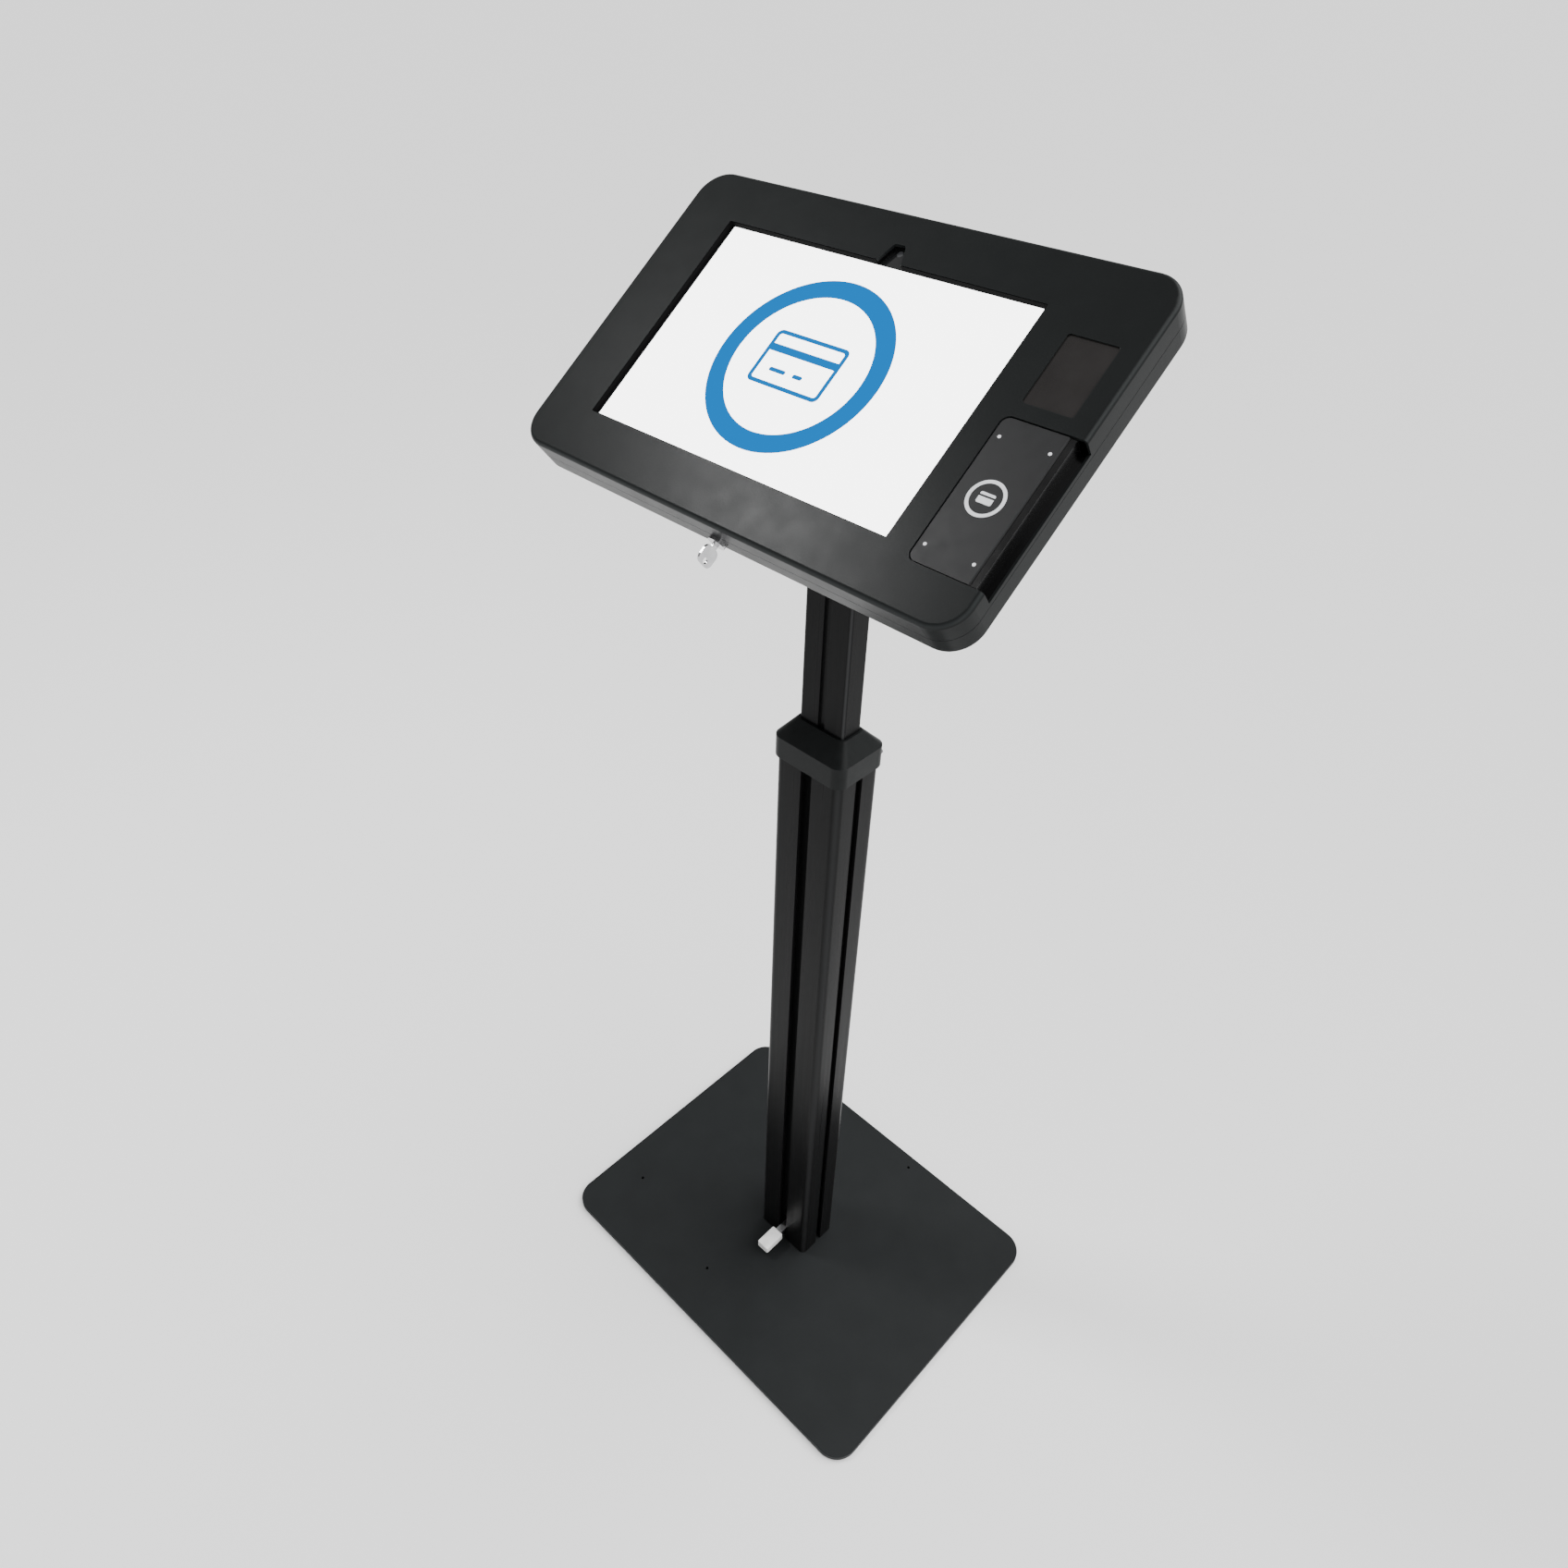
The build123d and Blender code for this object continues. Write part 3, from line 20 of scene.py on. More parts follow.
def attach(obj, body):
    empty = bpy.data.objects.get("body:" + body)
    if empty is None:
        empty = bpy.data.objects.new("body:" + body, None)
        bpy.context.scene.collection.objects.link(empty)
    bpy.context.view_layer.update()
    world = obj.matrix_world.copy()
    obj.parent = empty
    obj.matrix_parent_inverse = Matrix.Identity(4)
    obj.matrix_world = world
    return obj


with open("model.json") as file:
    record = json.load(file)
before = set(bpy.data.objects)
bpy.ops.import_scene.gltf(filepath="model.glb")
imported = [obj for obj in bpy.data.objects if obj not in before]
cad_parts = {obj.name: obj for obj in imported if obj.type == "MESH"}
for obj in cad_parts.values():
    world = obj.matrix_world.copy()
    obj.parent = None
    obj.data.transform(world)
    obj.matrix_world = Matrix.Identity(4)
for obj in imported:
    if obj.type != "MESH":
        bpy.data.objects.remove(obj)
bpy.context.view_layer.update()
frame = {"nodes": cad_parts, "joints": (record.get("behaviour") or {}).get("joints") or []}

Colour = tuple[float, float, float]
Point2 = tuple[float, float]
Point3 = tuple[float, float, float]
Socket = bpy.types.NodeSocket

MM = 0.001
FACE_SLOPE = math.radians(37.5)
ACROSS = Vector((1.0, 0.0, 0.0))
OFF_THE_FACE = Vector((0.0, -math.sin(FACE_SLOPE), math.cos(FACE_SLOPE)))

MIX_AMOUNT, MIX_UNDER, MIX_OVER = 0, 6, 7
MIX_RESULT = 2
EDGE_SAMPLES = 4
EDGE_MATCH: Point2 = (0.78, 0.995)
CREST_MATCH: Point2 = (0.06, 0.25)
WHOLE: Point2 = (0.0, 1.0)

log = logging.getLogger("terminal")


class Grain(Enum):
    """Which way a surface's fine marks run."""

    EVEN = (1.0, 1.0, 1.0)
    UPRIGHT = (1.0, 1.0, 0.012)


class Body(Enum):
    """The moving groups that an extra piece can ride on."""

    HEAD = "head"
    COVER = "cover"


# Finishes


def lighter(colour: Colour, share: float) -> Colour:
    """The same colour with more or less light in it."""
    return (colour[0] * share, colour[1] * share, colour[2] * share)


class Recipe:
    """One material's node tree, put together step by step."""

    def __init__(self, name: str) -> None:
        """Starts a material with its plain surface shader.

        Args:
            name: What the material is called.
        """
        self.material = bpy.data.materials.new(name)
        self.material.use_nodes = True
        self.tree = self.material.node_tree
        self.surface = self.tree.nodes["Principled BSDF"]

    def node(self, kind: str, **settings: object) -> bpy.types.Node:
        """Adds one node.

        Args:
            kind: The node's type.
            settings: Its own options, by name.

        Returns:
            The new node.
        """
        made = self.tree.nodes.new(kind)
        for key, value in settings.items():
            setattr(made, key, value)
        return made

    def link(self, source: Socket, target: Socket) -> None:
        """Joins two sockets."""
        self.tree.links.new(source, target)

    def feed(self, source: Socket, name: str) -> None:
        """Joins a socket to one of the shader's own."""
        self.link(source, self.surface.inputs[name])

    def fix(self, values: dict[str, object]) -> None:
        """Sets the shader's own sockets to what is the same all over.

        Args:
            values: Each socket's value, by its name.
        """
        for key, value in values.items():
            self.surface.inputs[key].default_value = value

    def grain(self, size: float, run: Grain = Grain.EVEN, detail: float = 3.0) -> Socket:
        """Fine noise fixed to the piece.

        Args:
            size: The width of one grain, in millimetres.
            run: Which way the grain is drawn out.
            detail: How many finer layers it has.

        Returns:
            The noise, about one half on average.
        """
        place = self.node("ShaderNodeTexCoord")
        mapping = self.node("ShaderNodeMapping")
        mapping.inputs["Scale"].default_value = run.value
        noise = self.node("ShaderNodeTexNoise")
        noise.inputs["Scale"].default_value = 1.0 / (size * MM)
        noise.inputs["Detail"].default_value = detail
        self.link(place.outputs["Object"], mapping.inputs["Vector"])
        self.link(mapping.outputs["Vector"], noise.inputs["Vector"])
        return noise.outputs["Fac"]

    def spread(
        self, source: Socket, low: float, high: float, ends: Point2 = (0.3, 0.7)
    ) -> Socket:
        """Stretches a value over a new range.

        Args:
            source: The value.
            low: What the lower end becomes.
            high: What the upper end becomes.
            ends: The two ends of the value that comes in.

        Returns:
            The value in its new range.
        """
        stretch = self.node("ShaderNodeMapRange")
        stretch.inputs["From Min"].default_value = ends[0]
        stretch.inputs["From Max"].default_value = ends[1]
        stretch.inputs["To Min"].default_value = low
        stretch.inputs["To Max"].default_value = high
        self.link(source, stretch.inputs["Value"])
        return stretch.outputs["Result"]

    def work_out(self, operation: str, first: Socket | float, second: Socket) -> Socket:
        """Works out one sum.

        Args:
            operation: The kind of sum.
            first: Its first value.
            second: Its second value.

        Returns:
            The result.
        """
        made = self.node("ShaderNodeMath", operation=operation)
        if isinstance(first, Socket):
            self.link(first, made.inputs[0])
        else:
            made.inputs[0].default_value = first
        self.link(second, made.inputs[1])
        return made.outputs["Value"]

    def edges(self, width: float) -> Socket:
        """Finds the outer and inner edges of a piece.

        Args:
            width: How far from the edge it still counts, in millimetres.

        Returns:
            0 on the flat and rising towards an edge.
        """
        rounded = self.node("ShaderNodeBevel", samples=EDGE_SAMPLES)
        rounded.inputs["Radius"].default_value = width * MM
        flat = self.node("ShaderNodeNewGeometry")
        match = self.node("ShaderNodeVectorMath", operation="DOT_PRODUCT")
        self.link(rounded.outputs["Normal"], match.inputs[0])
        self.link(flat.outputs["Normal"], match.inputs[1])
        return self.spread(match.outputs["Value"], 1.0, 0.0, EDGE_MATCH)

    def crest(self, axis: Vector) -> Socket:
        """Finds the rounded corners that turn away from an axis.

        Args:
            axis: The direction that one of the two flats faces, on the piece itself.

        Returns:
            0 on the flats and rising to 1 half way round a corner.
        """
        place = self.node("ShaderNodeTexCoord")
        match = self.node("ShaderNodeVectorMath", operation="DOT_PRODUCT")
        match.inputs[1].default_value = axis
        self.link(place.outputs["Normal"], match.inputs[0])
        square = self.work_out("MULTIPLY", match.outputs["Value"], match.outputs["Value"])
        both = self.work_out("MULTIPLY", square, self.work_out("SUBTRACT", 1.0, square))
        return self.spread(both, *WHOLE, CREST_MATCH)

    def blend(self, amount: Socket, under: Socket | Colour, over: Colour) -> Socket:
        """Lays one colour over another.

        Args:
            amount: How much of the upper colour shows.
            under: The colour beneath, which may already vary.
            over: The upper colour.

        Returns:
            The mixed colour.
        """
        mix = self.node("ShaderNodeMix", data_type="RGBA")
        mix.inputs[MIX_OVER].default_value = (*over, 1.0)
        if isinstance(under, Socket):
            self.link(under, mix.inputs[MIX_UNDER])
        else:
            mix.inputs[MIX_UNDER].default_value = (*under, 1.0)
        self.link(amount, mix.inputs[MIX_AMOUNT])
        return mix.outputs[MIX_RESULT]

    def drift(self, source: Socket, colour: Colour, shares: Point2) -> Socket:
        """Lets a colour run between a darker and a lighter shade.

        Args:
            source: The noise that it follows.
            colour: The colour.
            shares: How light the two shades are beside it.

        Returns:
            The colour, varying.
        """
        dark, light = (lighter(colour, share) for share in shares)
        return self.blend(self.spread(source, *WHOLE), dark, light)

    def relief(self, heights: Iterable[tuple[Socket, float]]) -> None:
        """Gives the surface a fine texture, one layer on another.

        Args:
            heights: Each layer's height and its depth in millimetres.
        """
        below = None
        for height, depth in heights:
            bump = self.node("ShaderNodeBump")
            bump.inputs["Strength"].default_value = 1.0
            bump.inputs["Distance"].default_value = depth * MM
            self.link(height, bump.inputs["Height"])
            if below is not None:
                self.link(below, bump.inputs["Normal"])
            below = bump.outputs["Normal"]
        self.feed(below, "Normal")


@dataclass(frozen=True)
class WearAndHighlight:
    """Lighter edges, for wear and painted highlight, and painted highlights on rounded corners.
    """

    light: float
    width: float = 0.7
    cover: float = 0.5
    crest: Vector | None = None
    crest_light: float = 2.4

    def lay_wear_and_highlight(self, recipe: Recipe, colour: Socket, fresh: Colour) -> Socket:
        """Lightens edges for wear and painted highlight, and paints highlight on any crests.

        Args:
            recipe: The material being made.
            colour: The surface's colour so far.
            fresh: The finish's own colour.

        Returns:
            The colour with its wear and painted highlights.
        """
        # The edges are lightened partly for wear and partly as painted highlight.
        rim = recipe.spread(recipe.edges(self.width), 0.0, self.cover, WHOLE)
        colour = recipe.blend(rim, colour, lighter(fresh, self.light))
        # The rounded corners get a painted highlight.
        if self.crest is not None:
            crest_highlight = lighter(fresh, self.crest_light)
            colour = recipe.blend(recipe.crest(self.crest), colour, crest_highlight)
        return colour


@dataclass(frozen=True)
class Finish:
    """What a surface is made of, how it has aged and where highlight is painted on it."""

    name: str
    colour: Colour

    def make(self) -> bpy.types.Material:
        """Builds the material.

        Returns:
            The finished material.
        """
        recipe = Recipe(self.name)
        self.mix(recipe)
        return recipe.material

    def mix(self, recipe: Recipe) -> None:
        """Fills in the recipe, which each kind of finish does in its own way."""
        raise NotImplementedError


@dataclass(frozen=True)
class PowderCoat(Finish):
    """Baked powder paint on sheet steel: a satin skin with a fine orange peel."""

    roughness: Point2 = (0.36, 0.46)
    peel: float = 1.1
    depth: float = 0.03
    wear_and_highlight: WearAndHighlight = WearAndHighlight(2.2)
    gloss: float = 0.06
    cloud: float = 38.0
    cloud_shares: Point2 = (0.95, 1.05)
    fleck: float = 0.45
    fleck_ends: Point2 = (0.56, 0.74)
    fleck_cover: float = 0.35
    fleck_light: float = 1.9
    fleck_depth: float = 0.35
    haze: float = 16.0

    def mix(self, recipe: Recipe) -> None:
        """Clouds the paint, flecks it and lightens its edges for wear and painted highlight.

        Args:
            recipe: The material being made.
        """
        cloud = recipe.grain(self.cloud, detail=2.0)
        fleck = recipe.grain(self.fleck, detail=2.0)
        colour = recipe.drift(cloud, self.colour, self.cloud_shares)
        spots = recipe.spread(fleck, 0.0, self.fleck_cover, self.fleck_ends)
        colour = recipe.blend(spots, colour, lighter(self.colour, self.fleck_light))
        recipe.feed(self.wear_and_highlight.lay_wear_and_highlight(recipe, colour, self.colour), "Base Color")
        haze = recipe.grain(self.haze, detail=4.0)
        recipe.feed(recipe.spread(haze, *self.roughness), "Roughness")
        peel = recipe.grain(self.peel, detail=2.0)
        recipe.relief([(peel, self.depth), (fleck, self.depth * self.fleck_depth)])
        recipe.fix({"Specular IOR Level": self.gloss})


@dataclass(frozen=True)
class Anodised(Finish):
    """Drawn aluminium with a dyed skin and fine die lines along its length."""

    roughness: Point2 = (0.26, 0.38)
    line: float = 0.35
    depth: float = 0.012
    run: Grain = Grain.UPRIGHT
    wear_and_highlight: WearAndHighlight = WearAndHighlight(2.5, 0.6, 0.6)
    gloss: float = 0.05
    line_shares: Point2 = (0.8, 1.25)
    band_ratio: float = 12.0
    drawn: float = 0.35

    def mix(self, recipe: Recipe) -> None:
        """Draws the die lines and the broader bands, and lightens edges for wear and painted
        highlight.

        Args:
            recipe: The material being made.
        """
        lines = recipe.grain(self.line, self.run, 4.0)
        bands = recipe.grain(self.line * self.band_ratio, self.run, 2.0)
        colour = recipe.drift(lines, self.colour, self.line_shares)
        recipe.feed(self.wear_and_highlight.lay_wear_and_highlight(recipe, colour, self.colour), "Base Color")
        recipe.feed(recipe.spread(bands, *self.roughness), "Roughness")
        recipe.relief([(lines, self.depth), (bands, self.depth)])
        recipe.fix({"Specular IOR Level": self.gloss, "Anisotropic": self.drawn})


@dataclass(frozen=True)
class BareMetal(Finish):
    """Plated or machined metal with faint working marks."""

    roughness: Point2 = (0.16, 0.3)
    mark: float = 0.3
    depth: float = 0.006
    wear_and_highlight: WearAndHighlight = WearAndHighlight(1.15, 0.25, 0.6)
    cloud: float = 6.0
    cloud_shares: Point2 = (0.82, 1.0)

    def mix(self, recipe: Recipe) -> None:
        """Dulls the metal in patches and marks it.

        Args:
            recipe: The material being made.
        """
        marks = recipe.grain(self.mark, detail=4.0)
        colour = recipe.drift(recipe.grain(self.cloud), self.colour, self.cloud_shares)
        # The edges are lightened for wear and painted highlight.
        recipe.feed(self.wear_and_highlight.lay_wear_and_highlight(recipe, colour, self.colour), "Base Color")
        recipe.feed(recipe.spread(marks, *self.roughness), "Roughness")
        recipe.relief([(marks, self.depth)])
        recipe.fix({"Metallic": 1.0})


@dataclass(frozen=True)
class Moulded(Finish):
    """Moulded plastic or rubber with a spark-eroded texture."""

    roughness: Point2 = (0.42, 0.56)
    pit: float = 0.5
    depth: float = 0.02
    wear_and_highlight: WearAndHighlight = WearAndHighlight(1.7, 0.4, 0.45)
    gloss: float = 0.18
    cloud: float = 9.0
    cloud_shares: Point2 = (0.9, 1.1)

    def mix(self, recipe: Recipe) -> None:
        """Clouds the plastic, pits it and lightens its edges for wear and painted highlight.

        Args:
            recipe: The material being made.
        """
        cloud = recipe.grain(self.cloud)
        colour = recipe.drift(cloud, self.colour, self.cloud_shares)
        recipe.feed(self.wear_and_highlight.lay_wear_and_highlight(recipe, colour, self.colour), "Base Color")
        recipe.feed(recipe.spread(cloud, *self.roughness), "Roughness")
        recipe.relief([(recipe.grain(self.pit), self.depth)])
        recipe.fix({"Specular IOR Level": self.gloss})


@dataclass(frozen=True)
class GlossPane(Finish):
    """Glass or acrylic over something dark, with a faint film of handling."""

    roughness: Point2 = (0.03, 0.09)
    coat: float = 0.6
    gloss: float = 0.3
    coat_roughness: float = 0.04
    film: float = 22.0
    film_shares: Point2 = (0.85, 1.15)
    ripple: float = 60.0
    ripple_depth: float = 0.02

    def mix(self, recipe: Recipe) -> None:
        """Lays the film over the pane and ripples it a little.

        Args:
            recipe: The material being made.
        """
        film = recipe.grain(self.film, detail=5.0)
        recipe.feed(recipe.drift(film, self.colour, self.film_shares), "Base Color")
        recipe.feed(recipe.spread(film, *self.roughness), "Roughness")
        recipe.relief([(recipe.grain(self.ripple, detail=1.0), self.ripple_depth)])
        recipe.fix(
            {
                "Coat Weight": self.coat,
                "Coat Roughness": self.coat_roughness,
                "Specular IOR Level": self.gloss,
            }
        )


@dataclass(frozen=True)
class Lit(Finish):
    """The part of a display that gives its own light."""

    power: float
    cell: float = 0.25
    cell_shares: Point2 = (0.97, 1.0)
    roughness: Point2 = (0.16, 0.22)

    def mix(self, recipe: Recipe) -> None:
        """Lights the display's cells, on a surface that is black itself.

        Args:
            recipe: The material being made.
        """
        cells = recipe.grain(self.cell, detail=1.0)
        recipe.feed(recipe.drift(cells, self.colour, self.cell_shares), "Emission Color")
        recipe.feed(recipe.spread(cells, *self.roughness), "Roughness")
        recipe.fix(
            {
                "Emission Strength": self.power,
                "Base Color": (0.0, 0.0, 0.0, 1.0),
                "Specular IOR Level": 0.0,
            }
        )


BLACK: Colour = (0.0098, 0.0108, 0.0109)
# Shell edges are lightened for wear and painted highlight; the rounded fillets off the face
# carry a painted highlight.
SHELL_WEAR_AND_HIGHLIGHT = WearAndHighlight(2.2, crest=OFF_THE_FACE)
# Column and mast edges are lightened for wear and painted highlight; their rounded corners
# carry a painted highlight, stronger on the mast.
COLUMN_WEAR_AND_HIGHLIGHT = WearAndHighlight(2.5, 0.6, 0.6, ACROSS, 3.0)
MAST_WEAR_AND_HIGHLIGHT = WearAndHighlight(2.5, 0.6, 0.6, ACROSS, 5.0)
# The collar's edges are lightened strongly, partly for wear and partly as a painted highlight.
COLLAR_WEAR_AND_HIGHLIGHT = WearAndHighlight(4.5, 0.4, 0.45)
PAD_WEAR = WearAndHighlight(2.4, 0.4, 0.45)
UNWORN = WearAndHighlight(1.0, 0.4, 0.45)
FINISHES: tuple[Finish, ...] = (
    PowderCoat("base_paint", (0.0150, 0.0163, 0.0168), (0.42, 0.52), 1.3, 0.03),
    Moulded("foot_rubber", (0.02, 0.02, 0.02), (0.7, 0.85), 0.8, 0.05),
    Anodised("column_anodised", (0.0066, 0.0067, 0.0069), wear_and_highlight=COLUMN_WEAR_AND_HIGHLIGHT),
    Anodised("mast_anodised", (0.0070, 0.0071, 0.0073), wear_and_highlight=MAST_WEAR_AND_HIGHLIGHT),
    BareMetal("plug_aluminium", (0.74, 0.75, 0.76), (0.25, 0.4)),
    Moulded("glide_plastic", (0.05, 0.05, 0.052), (0.35, 0.45)),
    Moulded("collar_plastic", BLACK, (0.3, 0.42), 0.45, 0.012, COLLAR_WEAR_AND_HIGHLIGHT, 0.08),
    BareMetal("screw_steel", (0.12, 0.12, 0.125), (0.25, 0.4)),
    PowderCoat("bracket_steel", BLACK, (0.38, 0.5), 0.9, 0.025),
    BareMetal("pedal_steel", (0.42, 0.42, 0.43), (0.3, 0.45)),
    Moulded("pedal_sleeve", (0.97, 0.965, 0.96), (0.4, 0.55), 0.6, 0.02, UNWORN),
    BareMetal("rod_chrome", (0.8, 0.8, 0.82), (0.05, 0.1)),
    PowderCoat("spring_paint", BLACK, (0.3, 0.4), 0.9, 0.02),
    PowderCoat("hinge_paint", BLACK, (0.36, 0.46), 0.9, 0.02),
    Moulded("knob_plastic", (0.017, 0.017, 0.018), (0.42, 0.55)),
    PowderCoat("housing_paint", BLACK, (0.29, 0.33), wear_and_highlight=SHELL_WEAR_AND_HIGHLIGHT),
    PowderCoat("cover_paint", BLACK, (0.29, 0.33), wear_and_highlight=SHELL_WEAR_AND_HIGHLIGHT),
    Anodised("tablet_shell", (0.05, 0.052, 0.056), (0.35, 0.5), 0.3, 0.008, Grain.EVEN),
    # The tablet glass is a lighter grey than bare black glass, as a painted reflection of the
    # room.
    GlossPane("tablet_glass", (0.0120, 0.0122, 0.0128)),
    GlossPane("lens_glass", (0.045, 0.046, 0.050), (0.02, 0.05), 1.0),
    # This near-black foam also makes the painted shade strip inside the display opening.
    Moulded("gasket_foam_and_shade", (0.0022, 0.0022, 0.0023), (0.8, 0.9), 0.6, 0.02, UNWORN, 0.02),
    Moulded("bracket_plastic", (0.02, 0.02, 0.021)),
    GlossPane("window_acrylic", (0.0152, 0.0136, 0.0132), (0.1, 0.16), 0.15),
    Moulded("module_plastic", (0.018, 0.018, 0.019)),
    Moulded("pad_plastic", (0.0106, 0.0108, 0.0115), (0.40, 0.50), 0.4, 0.012, PAD_WEAR),
    GlossPane("rail_plastic", (0.0028, 0.0028, 0.003), (0.16, 0.24), 0.06),
    Moulded("indicator_white", (0.82, 0.83, 0.85), (0.2, 0.3), 0.4, 0.005, UNWORN),
    Moulded("symbol_white", (0.72, 0.73, 0.75), (0.35, 0.45), 0.3, 0.006, UNWORN),
    BareMetal("lock_chrome", (0.56, 0.56, 0.57), (0.12, 0.26)),
    Lit("display_white", (1.0, 1.0, 1.0), 6.0),
    Lit("display_blue", (0.0, 0.31, 1.0), 0.78),
)


# Mesh making


@dataclass(frozen=True)
class Panel:
    """The head's flat drawing board: x right, y up the face, z out of it, in millimetres."""

    hinge: Vector
    up: Vector
    hinge_up: float = 8.0
    hinge_behind: float = 54.0

    def matrix(self) -> Matrix:
        """Where the board lies in the room.

        Returns:
            A matrix from millimetres on the board to metres in the room.
        """
        out = ACROSS.cross(self.up).normalized()
        centre = self.hinge - self.up * self.hinge_up * MM + out * self.hinge_behind * MM
        turn = Matrix((ACROSS, self.up, out)).transposed().to_4x4()
        return Matrix.Translation(centre) @ turn @ Matrix.Scale(MM, 4)


def find_panel() -> Panel:
    """Reads the head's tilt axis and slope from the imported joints.

    Returns:
        The head's drawing board.
    """
    joints = {joint["name"]: joint for joint in frame["joints"]}
    hinge = Vector(joints["head_tilt"]["pos_m"])
    return Panel(hinge, Vector(joints["lock_turn"]["axis"]).normalized())


def rounded_outline(
    width: float, height: float, radius: float, centre: Point2 = (0.0, 0.0), steps: int = 10
) -> list[Point2]:
    """A rectangle with round corners.

    Args:
        width: Its whole width.
        height: Its whole height.
        radius: The corner radius.
        centre: The middle of it.
        steps: How many points each corner takes.

    Returns:
        The outline's points in order.
    """
    points = []
    for quarter, (i, j) in enumerate([(1, 1), (-1, 1), (-1, -1), (1, -1)]):
        x = centre[0] + i * (width / 2 - radius)
        y = centre[1] + j * (height / 2 - radius)
        for step in range(steps + 1):
            angle = math.pi / 2 * (quarter + step / steps)
            points.append((x + radius * math.cos(angle), y + radius * math.sin(angle)))
    return points


def ring_outline(radius: float, centre: Point2, steps: int = 96) -> list[Point2]:
    """A circle's points in order."""
    turns = [2 * math.pi * step / steps for step in range(steps)]
    return [(centre[0] + radius * math.cos(t), centre[1] + radius * math.sin(t)) for t in turns]


class Workshop:
    """Makes the small extra pieces and puts them on their bodies."""

    def __init__(self, panel: Panel, materials: dict[str, bpy.types.Material]) -> None:
        """Keeps what every piece needs.

        Args:
            panel: The head's drawing board.
            materials: The finished materials, by name.
        """
        self.board = panel.matrix()
        self.materials = materials
        self.made: list[str] = []

    def fit(
        self,
        name: str,
        mesh: bmesh.types.BMesh,
        place: Matrix,
        body: Body,
        finish: str,
        slot: str,
    ) -> bpy.types.Object:
        """Turns a mesh into a piece of the terminal.

        Args:
            name: The piece's name.
            mesh: Its mesh, in the drawing's own millimetres.
            place: From those millimetres to the room.
            body: What it moves with.
            finish: Its material.
            slot: Not used.

        Returns:
            The new object.
        """
        mesh.transform(place)
        bmesh.ops.recalc_face_normals(mesh, faces=mesh.faces)
        data = bpy.data.meshes.new(name)
        mesh.to_mesh(data)
        mesh.free()
        data.materials.append(self.materials[finish])
        piece = bpy.data.objects.new(name, data)
        bpy.context.scene.collection.objects.link(piece)
        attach(piece, body.value)
        self.made.append(name)
        log.info("made %s on %s", name, body.value)
        return piece

    @staticmethod
    def sheet(outside: Sequence[Point2], bottom: float, top: float) -> bmesh.types.BMesh:
        """A flat plate.

        Args:
            outside: Its outline.
            bottom: The lower face.
            top: The upper face.

        Returns:
            The mesh.
        """
        mesh = bmesh.new()
        floor = [mesh.verts.new((x, y, bottom)) for x, y in outside]
        face = mesh.faces.new(floor)
        lifted = bmesh.ops.extrude_face_region(mesh, geom=[face])["geom"]
        verts = [item for item in lifted if isinstance(item, bmesh.types.BMVert)]
        bmesh.ops.translate(mesh, verts=verts, vec=(0.0, 0.0, top - bottom))
        return mesh

    @staticmethod
    def band(
        outside: Sequence[Point2], inside: Sequence[Point2], bottom: float, top: float
    ) -> bmesh.types.BMesh:
        """A flat ring between two outlines that have the same number of points.

        Args:
            outside: The outer outline.
            inside: The inner outline.
            bottom: The lower face.
            top: The upper face.

        Returns:
            The mesh.
        """
        mesh = bmesh.new()
        levels = ((outside, bottom), (outside, top), (inside, top), (inside, bottom))
        loops = [[mesh.verts.new((x, y, z)) for x, y in outline] for outline, z in levels]
        count = len(outside)
        for first, second in zip(loops, loops[1:] + loops[:1]):
            for step in range(count):
                after = (step + 1) % count
                mesh.faces.new((first[step], first[after], second[after], second[step]))
        return mesh

    @staticmethod
    def strip(
        path: Sequence[Point2], thickness: float, bottom: float, top: float
    ) -> bmesh.types.BMesh:
        """An upright strip along an open path, thickened to its left.

        Args:
            path: The path's points in order.
            thickness: How thick the strip is.
            bottom: Its lower edge.
            top: Its upper edge.

        Returns:
            The mesh.
        """
        mesh = bmesh.new()
        sections = []
        for index, (x, y) in enumerate(path):
            before = path[max(index - 1, 0)]
            after = path[min(index + 1, len(path) - 1)]
            run = Vector((after[0] - before[0], after[1] - before[1])).normalized()
            inner = (x - run.y * thickness, y + run.x * thickness)
            corners = ((x, y, bottom), (x, y, top), (*inner, top), (*inner, bottom))
            sections.append([mesh.verts.new(corner) for corner in corners])
        for first, second in zip(sections, sections[1:]):
            for side, corner in enumerate(first):
                after = (side + 1) % len(first)
                mesh.faces.new((corner, first[after], second[after], second[side]))
        mesh.faces.new(list(reversed(sections[0])))
        mesh.faces.new(sections[-1])
        return mesh


# Sub-assemblies


@dataclass
class Assembly:
    """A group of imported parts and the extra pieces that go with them."""

    shop: Workshop
    parts: dict[str, str] = field(default_factory=dict)

    def build(self) -> None:
        """Makes the extra pieces. A plain group has none."""

    def dress(self) -> None:
        """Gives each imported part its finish."""
        for name, finish in self.parts.items():
            part = frame["nodes"][name]
            part.data.materials.clear()
            part.data.materials.append(self.shop.materials[finish])
            log.info("finished %s in %s", name, finish)


@dataclass
class FloorPlate(Assembly):
    """The steel plate, its rubber feet and the screws into the column."""

    parts: dict[str, str] = field(
        default_factory=lambda: {
            "base_plate": "base_paint",
            "base_feet": "foot_rubber",
            "foot_screws": "screw_steel",
        }
    )


@dataclass
class LowerColumn(Assembly):
    """The outer extrusion with its collar and the bushing inside it."""

    parts: dict[str, str] = field(
        default_factory=lambda: {
            "lower_column": "column_anodised",
            "column_bushing": "glide_plastic",
            "column_collar": "collar_plastic",
            "collar_screws": "screw_steel",
        }
    )


